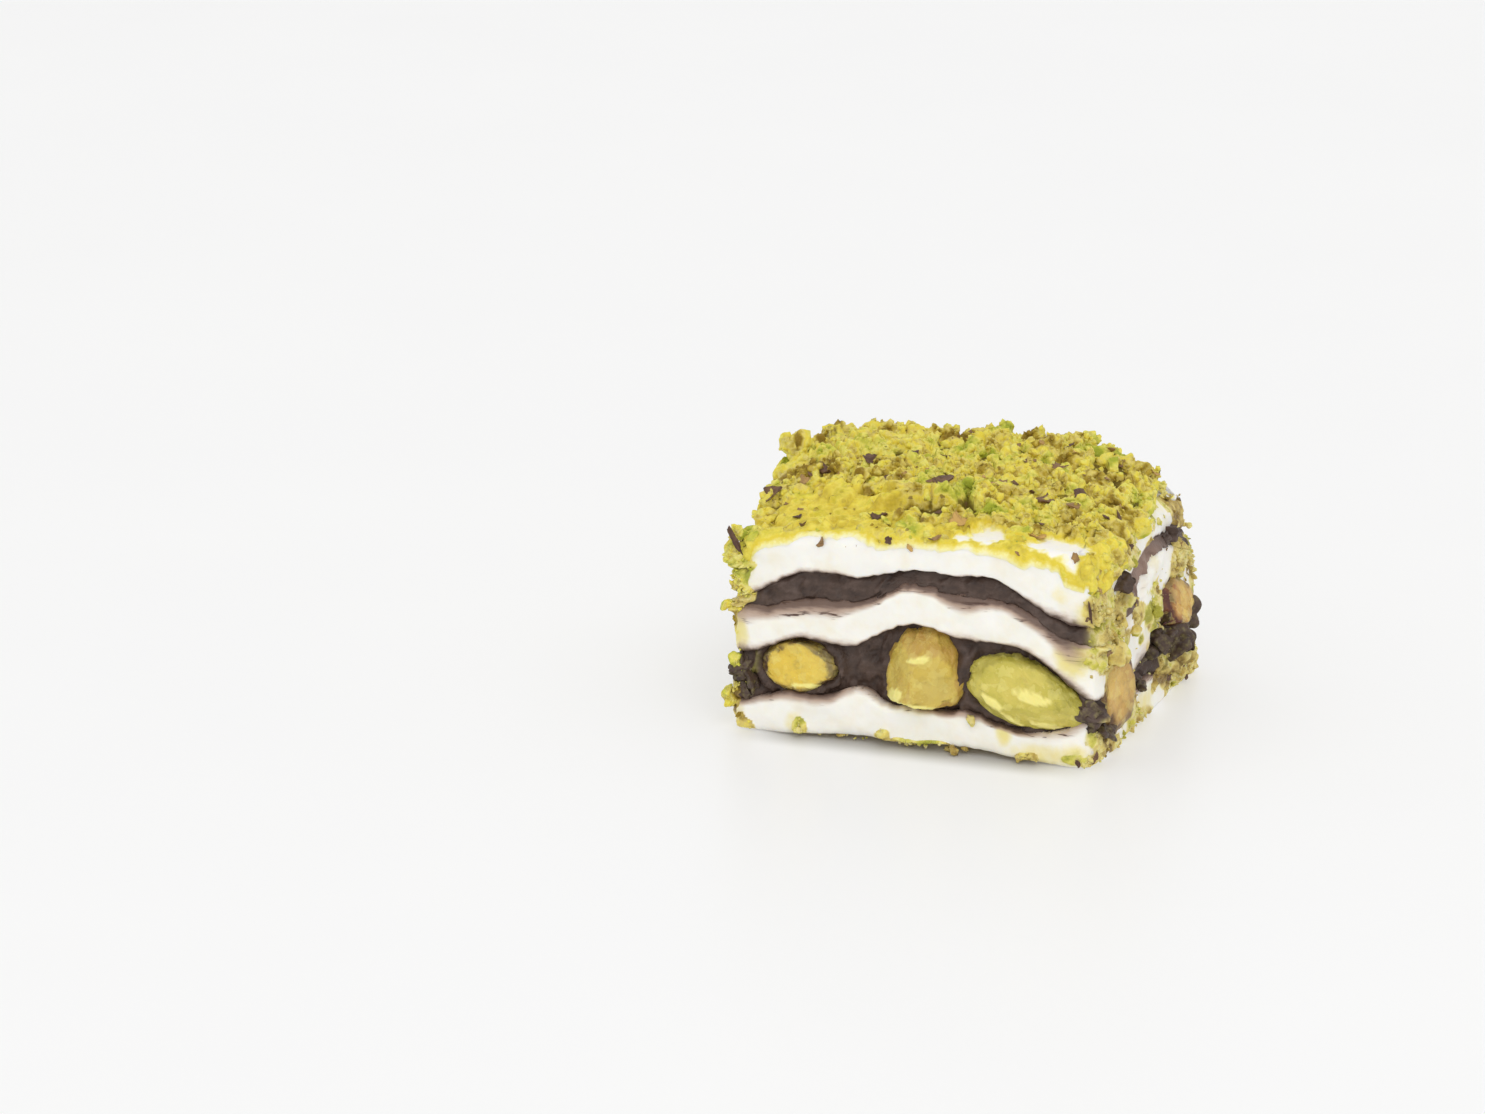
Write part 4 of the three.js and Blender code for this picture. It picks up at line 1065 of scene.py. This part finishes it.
def clods(points, kinds, fine=0.0):
    """The height of heaped clods and grains, about 0 on average, and a mark that is 0 in the crevices and low
    places, where shade is painted; kinds are (size, rise, salt) and fine is how powdery the place is."""
    total, crevice = 0.0, 0.0
    for size, rise, salt in kinds:
        away, gap, own, tilt = grains(stirred(points, size * 0.9, size * 0.35, salt + 9), size, salt)
        keep = mix(1.0, 0.35 if size > 1.2 else 0.6, fine)
        cleft = 1.0 * smooth(0.12, 0.0, gap) if size > 3 else 0.2 * smooth(0.16, 0.0, gap)
        faces = 0.6 * own + 0.8 * tilt + 0.5 * (1 - away ** 2) - cleft
        total = total + rise * keep * (faces - 0.6)
        crevice = np.maximum(crevice, keep * smooth(0.16, 0.02, gap) * smooth(0.3, 3.0, size))
    return total, smooth(-0.9, 0.3, total / kinds[0][1]) * (1 - 0.7 * crevice)


def crust_relief(points):
    """The relief of the crust on the sides, and its mark that is 0 in the crevices, where shade is painted.
    """
    return clods(points, CRUST_CLODS)


def bed_relief(points, fine):
    """The bed's relief, each point averaged with the places round it, so that its clods are soft."""
    moves = SOFTENING * np.array([(0, 0, 0), (1, 0, 0), (-1, 0, 0), (0, 1, 0), (0, -1, 0)])
    total, lift = np.mean([clods(points + move, BED_CLODS, fine) for move in moves], axis=0)
    return total + 0.4 * rough(points, 6.0, 61), lift


def bed_piece(finish):
    """The bed of crushed pistachio. Gives the crumbs that lie on it its points, the directions out of
    it, where it is whole, where it is powder, and its lift out of the crevices."""
    base, faces, hem_ring, to_hem, around = bed_base()
    out = normals(base, faces)
    out /= np.linalg.norm(out, axis=1, keepdims=True)
    fine = powder_share(base)
    front = np.where(around < 0, smooth(-10, -14, base[:, 1]), by_side(around, 1.0, 0.0, 0.0, 0.0))
    inward = to_hem / mix(1.2, 3.3, front)
    fade = 1 - smooth(0.0, 1.0, inward)
    full = smooth(0.35, 1.5, inward)
    bare = bareness(base)
    fade = np.maximum(fade, bare)
    calm = np.maximum(bare, 0.75 * bareness(base + (0, 2.2, 0)))
    relief, lift = bed_relief(base, fine)
    cover = full * (1 - smooth(0.0, 0.6, calm))
    step, crevice = ledge(base)
    relief = relief * (1 - 0.6 * crevice)
    thick = BED_THICK + relief + step
    film = mix(HEM_DEPTH, FILM_THICK, smooth(0.0, 1.6, to_hem))
    points = base + out * (film + np.maximum(thick, 0.0) * cover)[:, None]
    # The underside is a shallow fan inside the sheet.
    low = np.array([0.0, 0.0, height(TOP_ROOF, np.zeros(2)) - UNDERSIDE_DEPTH])
    points = np.concatenate([points, [low]])
    faces = np.concatenate([faces, end_faces(hem_ring, len(points) - 1, False)])
    # painted shade: lift falls to 0 in the ledge's crevice, so it takes the crevice shade
    lift = np.maximum(lift, np.maximum(1 - full, calm)) * (1 - crevice)
    piece("pistachio_bed", points, faces, finish, "crushed_pistachio", ["crushed_pistachio_coat"],
          lift=np.append(lift, 0.5), powder=np.append(fine, 0), fade=np.append(fade, 0))
    return points[:-1], out, cover * smooth(0.75, 0.35, fade), fine, lift


# ---------------------------------------------------------------- crumbs

def ball(subdivisions):
    """Points and triangles of a unit ball."""
    shape = bmesh.new()
    bmesh.ops.create_icosphere(shape, subdivisions=subdivisions, radius=1.0)
    points = np.array([v.co for v in shape.verts])
    faces = np.array([[v.index for v in face.verts] for face in shape.faces])
    shape.free()
    return points, faces


def crumb_shapes(subdivisions, count, knocks=3, thickness=1.0, bend=0.0, lumpy=1.0):
    """Unit crumbs, each a ball that is squashed, lumpy and knocked flat in places."""
    points, faces = ball(subdivisions)
    shapes = []
    for number in range(count):
        body = points * RANDOM.uniform(0.6, 1.3, 3)
        place = points + 9.1 * number
        lumps = 0.6 * rough(place, 0.9, 5) + 0.5 * rough(place, 0.4, 6)
        body = body * (1 + lumpy * lumps)[:, None]
        for _ in range(knocks):
            normal = RANDOM.normal(size=3)
            normal /= np.linalg.norm(normal)
            past = body @ normal - RANDOM.uniform(0.35, 0.85)
            body = body - np.outer(np.maximum(past, 0), normal)
        body[:, 2] = body[:, 2] * thickness + bend * (body[:, 0] ** 2 - 0.3) + bend * 0.5 * body[:, 1]
        shapes.append(body)
    return np.array(shapes), faces


def turns(count):
    """Random turns, as 3 by 3 matrices."""
    q = RANDOM.normal(size=(count, 4))
    w, x, y, z = (q / np.linalg.norm(q, axis=1, keepdims=True)).T
    rows = [[1 - 2 * (y * y + z * z), 2 * (x * y - z * w), 2 * (x * z + y * w)],
            [2 * (x * y + z * w), 1 - 2 * (x * x + z * z), 2 * (y * z - x * w)],
            [2 * (x * z - y * w), 2 * (y * z + x * w), 1 - 2 * (x * x + y * y)]]
    return np.moveaxis(np.array(rows), -1, 0)


def facing(out):
    """Turns that lay a flat crumb along a surface, with a random spin and some tilt."""
    out = out + 0.22 * RANDOM.normal(size=out.shape)
    out = out / np.linalg.norm(out, axis=1, keepdims=True)
    one = np.cross(out, RANDOM.normal(size=out.shape))
    one /= np.linalg.norm(one, axis=1, keepdims=True)
    return np.stack([one, np.cross(out, one), out], axis=1)


SMOOTH_FROM = 100  # the number of points from which a crumb is smooth


def scatter(name, shapes, own, places, turned, sizes, finish, slot, **marks):
    """One piece of many crumbs: own picks each one's shape, and marks hold a value for each crumb or for
    each of its points. Crumbs of few points keep their flat chips."""
    bodies, faces = shapes
    count, size = len(places), bodies.shape[1]
    points = np.einsum("nvi,nij->nvj", bodies[own], turned) * sizes[:, None, None] + places[:, None]
    points[..., 2] = np.maximum(points[..., 2], 0.05)
    all_faces = (faces[None] + (np.arange(count) * size)[:, None, None]).reshape(-1, 3)
    marks = {mark: np.repeat(values, size) if values.ndim == 1 else values.ravel()
             for mark, values in marks.items()}
    return piece(name, points.reshape(-1, 3), all_faces, finish, slot, chipped=size < SMOOTH_FROM, **marks)


def pick(weights, count):
    """The numbers of up to count different points, drawn by their weights."""
    count = min(count, int((weights > 0).sum()))
    return RANDOM.choice(len(weights), size=count, replace=False, p=weights / weights.sum())


def wall_places(count):
    """Places for crumbs on the piece's sides, where crust is pressed onto them and a few beside it."""
    s = RANDOM.uniform(0, 4, count * 16)
    z = RANDOM.uniform(0.2, 23, len(s))
    points, out = side_point(s, z)
    thick = crust(points, s)
    keep = smooth(0.05, 0.5, thick) + by_side(s, 0.0, 0.07, 0.07, 0.07)
    keep = keep * (z < top_roof(outline(s, 0.93)) - 0.6)
    chosen = np.flatnonzero(RANDOM.uniform(size=len(s)) < keep)[:count]
    return points[chosen] + out[chosen] * (0.5 * thick[chosen])[:, None], out[chosen]


# Single crumbs: x, y, z, radius and tint.
PLACED_CRUMBS = [
    (-22.9, -17.8, 14.8, 0.8, 0.6), (4.6, -18.5, 0.5, 0.6, 0.6), (12.3, -18.4, 0.6, 0.7, 0.3),
    (6.6, -18.6, 4.4, 0.8, 0.2), (22.0, -14.0, 12.4, 1.5, 0.52), (22.3, -11.6, 12.3, 1.2, 0.5),
    (21.8, -7.3, 17.0, 0.8, 0.86), (22.5, -7.2, 13.3, 0.9, 0.85), (-21.4, -18.2, 7.4, 0.9, 0.8),
    (-21.9, -17.8, 8.2, 0.8, 0.75), (22.8, 0.9, 12.8, 0.7, 0.82), (22.3, 15.1, 18.8, 0.5, 0.7),
    (21.4, -10.7, 0.7, 0.7, 0.1),
]
# Lumps that stand out of the coat by their colour: x, y, radius and tint.
COAT_LUMPS = [
    (-11.4, -3.4, 1.3, -0.12), (-9.9, -3.1, 0.9, -0.1), (1.6, -4.0, 0.8, 0.95), (2.8, -4.4, 0.7, 0.9),
    (4.7, 1.8, 0.8, 0.95), (14.1, 10.5, 1.1, 0.95), (15.2, 9.0, 0.8, 1.0), (6.2, -6.8, 0.8, 0.95),
    (-17.3, -7.6, 1.0, -0.2), (-9.1, -2.3, 0.9, -0.35), (-6.0, -4.2, 0.9, 0.55),
    (-4.0, -13.0, 1.1, -0.3), (12.1, -12.0, 1.0, -0.2), (-20.6, -13.0, 0.9, 0.95),
    (-21.0, -15.6, 0.8, 0.9),
]
# Lumps of chocolate squeezed out at the sides: s, z and radius.
CHOCOLATE_LUMPS = [
    (1.0, 6.9, 1.1), (1.03, 5.6, 1.1), (1.07, 4.4, 1.1), (1.1, 3.3, 0.8), (0.98, 7.2, 0.7),
    (1.43, 5.8, 0.8), (1.56, 7.6, 1.3), (1.62, 8.2, 1.8), (1.68, 7.4, 1.9), (1.74, 8.0, 1.8),
    (1.8, 9.2, 1.3), (1.86, 8.8, 0.6), (1.9, 7.8, 0.6), (1.99, 8.2, 0.4), (1.97, 6.6, 0.4),
    (1.457, 4.7, 0.9), (1.66, 10.4, 1.1), (1.5, 6.9, 1.0), (1.27, 19.3, 1.2), (1.3, 18.3, 0.9),
    (1.74, 18.9, 0.8), (1.79, 19.0, 1.0), (1.84, 18.6, 0.8), (3.97, 6.6, 1.3), (3.95, 8.0, 1.1),
    (0.02, 7.2, 1.3), (0.05, 6.4, 1.1), (0.03, 5.3, 0.8), (3.5, 6.4, 1.3), (3.42, 7.0, 1.1),
    (3.2, 7.8, 1.2), (3.15, 17.2, 1.0), (2.5, 7.2, 1.3), (2.44, 7.9, 1.0), (2.85, 7.4, 1.2),
    (2.2, 17.6, 0.9), (2.25, 17.9, 0.8), (2.1, 6.8, 1.1),
]
LUMP_SHAPES = 8


def chocolate_lumps(finish):
    """Lumps of squeezed chocolate, dustier on the lower filling."""
    s, z, sizes = np.array(CHOCOLATE_LUMPS).T
    points, out = side_point(s, z)
    shapes = crumb_shapes(4, LUMP_SHAPES, knocks=2)
    scatter("chocolate_lumps", shapes, np.arange(len(s)) % LUMP_SHAPES, points + out * 0.1 * sizes[:, None],
            turns(len(s)), sizes, finish, "chocolate", dust=np.where(z < 12, 0.55, 0.35))


# Clumps of crumbs that stand out from the coat: x, y, z, half length, half height and tint.
CLUMPS = [
    (-21.6, 2.4, 27.4, 2.2, 1.8, 0.85), (9.6, 17.2, 27.2, 1.5, 1.0, 0.95),
    (-21.9, -17.4, 23.4, 1.2, 0.9, 0.7), (-22.4, -17.3, 20.8, 0.8, 1.2, 0.6),
    (-22.7, -17.7, 3.6, 0.9, 1.0, 0.75),
]
CLUMP_CRUMBS = 20


def clump_crumbs():
    """Places, radii and tints of the crumbs in the clumps."""
    rows = []
    for x, y, z, long, tall, tint in CLUMPS:
        spots = RANDOM.normal(size=(CLUMP_CRUMBS, 3)).clip(-1.6, 1.6) * 0.3 * (long, long * 0.8, tall)
        radii = RANDOM.uniform(0.5, 0.85, CLUMP_CRUMBS) * tall
        tints = tint + RANDOM.normal(0, 0.08, CLUMP_CRUMBS)
        rows.append(np.column_stack([spots + (x, y, z), radii, tints]))
    return np.concatenate(rows)


# Scraps of skin that show on the coat: x, y, radius and tint, dark at 0 and pale tan at 1.
PLACED_SKINS = [
    (-8.1, 4.7, 0.9, 0.1), (-4.1, 5.2, 0.9, 0.4), (-15.7, -3.5, 0.8, 0.2), (-17.4, -6.8, 0.8, 0.7),
    (-20.5, -7.8, 0.9, 0.3), (-8.4, -4.5, 0.9, 0.2), (-1.4, -4.1, 1.4, 0.25), (0.0, -11.3, 0.6, 0.2),
    (-6.5, -13.0, 0.7, 0.1), (-5.9, -12.3, 0.6, 0.2), (-3.6, -17.6, 0.35, 0.1),
    (-11.7, -18.2, 0.5, 0.5), (-7.9, -18.3, 0.45, 0.75), (-14.3, -16.2, 0.4, 0.2),
    (-0.9, -18.3, 0.4, 0.9), (3.3, -13.1, 0.8, 1.0), (1.8, -17.2, 0.6, 0.6), (9.1, 10.9, 0.7, 0.2),
    (2.6, 9.3, 0.8, 0.5), (9.6, 4.5, 0.9, 0.45), (10.8, -4.3, 1.0, 0.35), (14.2, -1.7, 1.1, 0.15),
    (14.4, -5.5, 1.0, 0.55), (18.9, 8.7, 0.9, 0.15), (19.6, -4.2, 0.7, 0.2), (18.7, -6.4, 0.7, 0.15),
    (18.4, -17.4, 0.6, 0.6), (12.9, 14.3, 1.0, 0.6), (4.8, -1.7, 0.8, 0.55), (12.0, -12.8, 1.2, 0.9),
]


def nearest_on_bed(points, places):
    """The numbers of the bed's points that lie nearest to the places' x and y, the higher ones first."""
    numbers = []
    for x, y in places[:, :2]:
        away = np.hypot(points[:, 0] - x, points[:, 1] - y)
        numbers.append(np.argmin(away - 0.05 * points[:, 2]))
    return numbers


# Long strips of skin on the sides: from, to, half width and tint.
STRIPS = [
    ((-22.9, -18.4, 24.6), (-20.6, -18.7, 21.0), 0.42, 0.1),
    ((20.4, -18.5, 20.6), (20.7, -18.4, 17.2), 0.2, 0.1),
]


def strip_turns():
    """For each strip, a matrix that stretches a flake of skin between its ends, facing forward."""
    rows = []
    for start, end, half, _ in STRIPS:
        along = (np.array(end) - start) / 2
        across = np.cross(along, (0.2, -1, 0.1))
        out = np.cross(along, across)
        rows.append([along, half * across / np.linalg.norm(across), out / np.linalg.norm(out)])
    return np.array(rows)


# Each grade of crumb: its mesh's subdivisions, how many lie on the bed and on the sides, its least and
# largest radius, and how lumpy it is.
CRUMB_GRADES = {
    "crumbs_fine": (1, 2600, 3000, (0.18, 0.36), 1.0),
    "crumbs_medium": (2, 1000, 560, (0.32, 0.65), 1.0),
    "crumbs_large": (3, 100, 20, (0.65, 1.1), 0.7),
}
CRUMB_SHAPES = 24  # how many different shapes each grade and the flakes have


def placed_crumbs(points):
    """Places, radii and tints of the crumbs that each have a place of their own."""
    lumps = np.array(COAT_LUMPS)
    on_coat = points[nearest_on_bed(points, lumps)] + (0, 0, 0.15)
    return np.concatenate([PLACED_CRUMBS, clump_crumbs(), np.column_stack([on_coat, lumps[:, 2:]])])


def crumb_piece(name, bed, finish):
    """One grade of single crumbs, on the bed and on the sides."""
    points, out, cover, fine, lift = bed
    subdivisions, on_bed, on_walls, (least, most), lumpy = CRUMB_GRADES[name]
    chosen = pick(cover * (1 - 0.95 * fine) * (0.25 + 0.75 * lift), on_bed)
    walls, walls_out = wall_places(on_walls)
    places = np.concatenate([points[chosen], walls])
    outs = np.concatenate([out[chosen], walls_out])
    sizes = least * (most / least) ** RANDOM.uniform(0, 1, len(places)) ** 1.3
    sizes[len(chosen):] *= 0.8
    places = places + outs * (sizes * RANDOM.uniform(-0.6, 0.1, len(places)))[:, None]
    tints = 0.5 + RANDOM.normal(0, 0.11, len(places))
    if name == "crumbs_large":
        placed = placed_crumbs(points)
        places = np.concatenate([places, placed[:, :3]])
        outs = np.concatenate([outs, np.tile((0.0, -0.7, 0.7), (len(placed), 1))])
        sizes, tints = np.append(sizes, placed[:, 3]), np.append(tints, placed[:, 4])
    shapes = crumb_shapes(subdivisions, CRUMB_SHAPES, lumpy=lumpy)
    turned = turns(len(places))
    own = RANDOM.integers(CRUMB_SHAPES, size=len(places))
    # rise is how far each point faces out of the surface; lift from it puts painted shade on the crumbs'
    # undersides
    rise = np.einsum("nvi,nij,nj->nv", shapes[0][own], turned, outs)
    pressed = 0.8 * smooth(24.5, 21.5, places[:, 2]) * smooth(-20.5, -18.5, places[:, 0])
    scatter(name, shapes, own, places, turned, sizes, finish, "crushed_pistachio",
            tint=tints, lift=smooth(-1.5, -0.6, rise), pressed=pressed)


FLAKES_ON_BED, FLAKES_ON_SIDES = 60, 70
LEAST_FLAKE, LARGEST_FLAKE = 0.22, 0.6


def skin_flakes(bed, finish):
    """Flakes of the kernels' skin, on the bed and on the sides, and the long strips."""
    points, out, cover, fine, _ = bed
    chosen = pick(cover * (1 - 0.6 * fine), FLAKES_ON_BED)
    placed = np.array(PLACED_SKINS)
    by_hand = nearest_on_bed(points, placed)
    walls, walls_out = wall_places(FLAKES_ON_SIDES)
    places = np.concatenate([points[chosen], points[by_hand], walls])
    outs = np.concatenate([out[chosen], out[by_hand], walls_out])
    sizes = LEAST_FLAKE * (LARGEST_FLAKE / LEAST_FLAKE) ** RANDOM.uniform(0, 1, len(places)) ** 1.2
    tints = RANDOM.uniform(0, 0.9, len(places))
    here = slice(len(chosen), len(chosen) + len(placed))
    sizes[here], tints[here] = placed[:, 2], placed[:, 3]
    places = places + outs * (0.12 + 0.12 * sizes)[:, None]
    turned = np.concatenate([facing(outs), strip_turns()])
    places = np.concatenate([places, [(np.array(start) + end) / 2 for start, end, _, _ in STRIPS]])
    sizes = np.append(sizes, np.ones(len(STRIPS)))
    tints = np.append(tints, [tint for _, _, _, tint in STRIPS])
    shapes = crumb_shapes(3, CRUMB_SHAPES, knocks=2, thickness=0.2, bend=0.35)
    own = RANDOM.integers(CRUMB_SHAPES, size=len(places))
    scatter("skin_flakes", shapes, own, places, turned, sizes, finish, "crushed_pistachio", tint=tints)


# ---------------------------------------------------------------- the stage, in metres

FLOOR_HALF = 4.0
FLOOR_GAP = 0.0001
# Each lamp: where it stands, its power and its width.
LAMPS = {"key": ((0.3, -0.5, 0.7), 1.45, 0.5), "fill": ((0.25, -0.8, 0.35), 0.5, 0.7)}
LAMP_TARGET = (0, 0, 0.012)
SKY_STRENGTH = 0.84
CAMERA_PLACE = (254.12, -807.6, 306.82)  # in millimetres from the middle of the plan
CAMERA_AZIMUTH, CAMERA_ELEVATION = np.radians(19.213), np.radians(18.889)
CAMERA_LENS, SENSOR_WIDTH = 187.87, 36.0


def floor_piece():
    """The white table, just below the piece."""
    mesh = bpy.data.meshes.new("floor")
    corners = [(-1, -1), (1, -1), (1, 1), (-1, 1)]
    mesh.from_pydata([(x * FLOOR_HALF, y * FLOOR_HALF, -FLOOR_GAP) for x, y in corners], [], [(0, 1, 2, 3)])
    mesh.materials.append(floor_finish())
    added("floor", mesh)


def lights():
    """A white sky and two soft lamps that face the piece."""
    world = bpy.data.worlds.new("studio")
    bpy.context.scene.world = world
    world.use_nodes = True
    background = world.node_tree.nodes["Background"]
    background.inputs["Color"].default_value = (1.0, 1.0, 1.0, 1.0)
    background.inputs["Strength"].default_value = SKY_STRENGTH
    for name, (at, power, size) in LAMPS.items():
        lamp = bpy.data.lights.new(name, "AREA")
        lamp.energy, lamp.size = power, size
        holder = added(name, lamp)
        holder.location = at
        holder.rotation_euler = (Vector(LAMP_TARGET) - Vector(at)).to_track_quat("-Z", "Y").to_euler()


def camera():
    """The scene's camera, to the right of the front and above it, with no roll."""
    lens = bpy.data.cameras.new("camera")
    lens.lens, lens.sensor_width, lens.clip_end = CAMERA_LENS, SENSOR_WIDTH, 20.0
    holder = added("camera", lens)
    right = Vector((np.cos(CAMERA_AZIMUTH), np.sin(CAMERA_AZIMUTH), 0))
    level = np.cos(CAMERA_ELEVATION)
    back = Vector((np.sin(CAMERA_AZIMUTH) * level, -np.cos(CAMERA_AZIMUTH) * level, np.sin(CAMERA_ELEVATION)))
    turn = Matrix((right, back.cross(right), back)).transposed().to_4x4()
    holder.matrix_world = Matrix.Translation((np.array(CAMERA_PLACE) + SHIFT) * MM) @ turn
    bpy.context.scene.camera = holder


camera()
lights()
floor_piece()
white = lokum_finish()
for layer in SHEETS:
    sheet_piece(layer, white)
dark = chocolate_finish()
for layer in FILLINGS:
    filling_piece(layer, dark)
flesh = {kind: kernel_finish(kind) for kind in KERNEL_KINDS}
for kernel_name, kernel in KERNELS.items():
    kernel_piece(kernel_name, kernel, flesh[kernel[-1]])
bed = bed_piece(bed_finish())
crumbs = crumb_finish()
for grade in CRUMB_GRADES:
    crumb_piece(grade, bed, crumbs)
skin_flakes(bed, skin_finish())
chocolate_lumps(dark)
bpy.context.scene.view_settings.view_transform = "Standard"
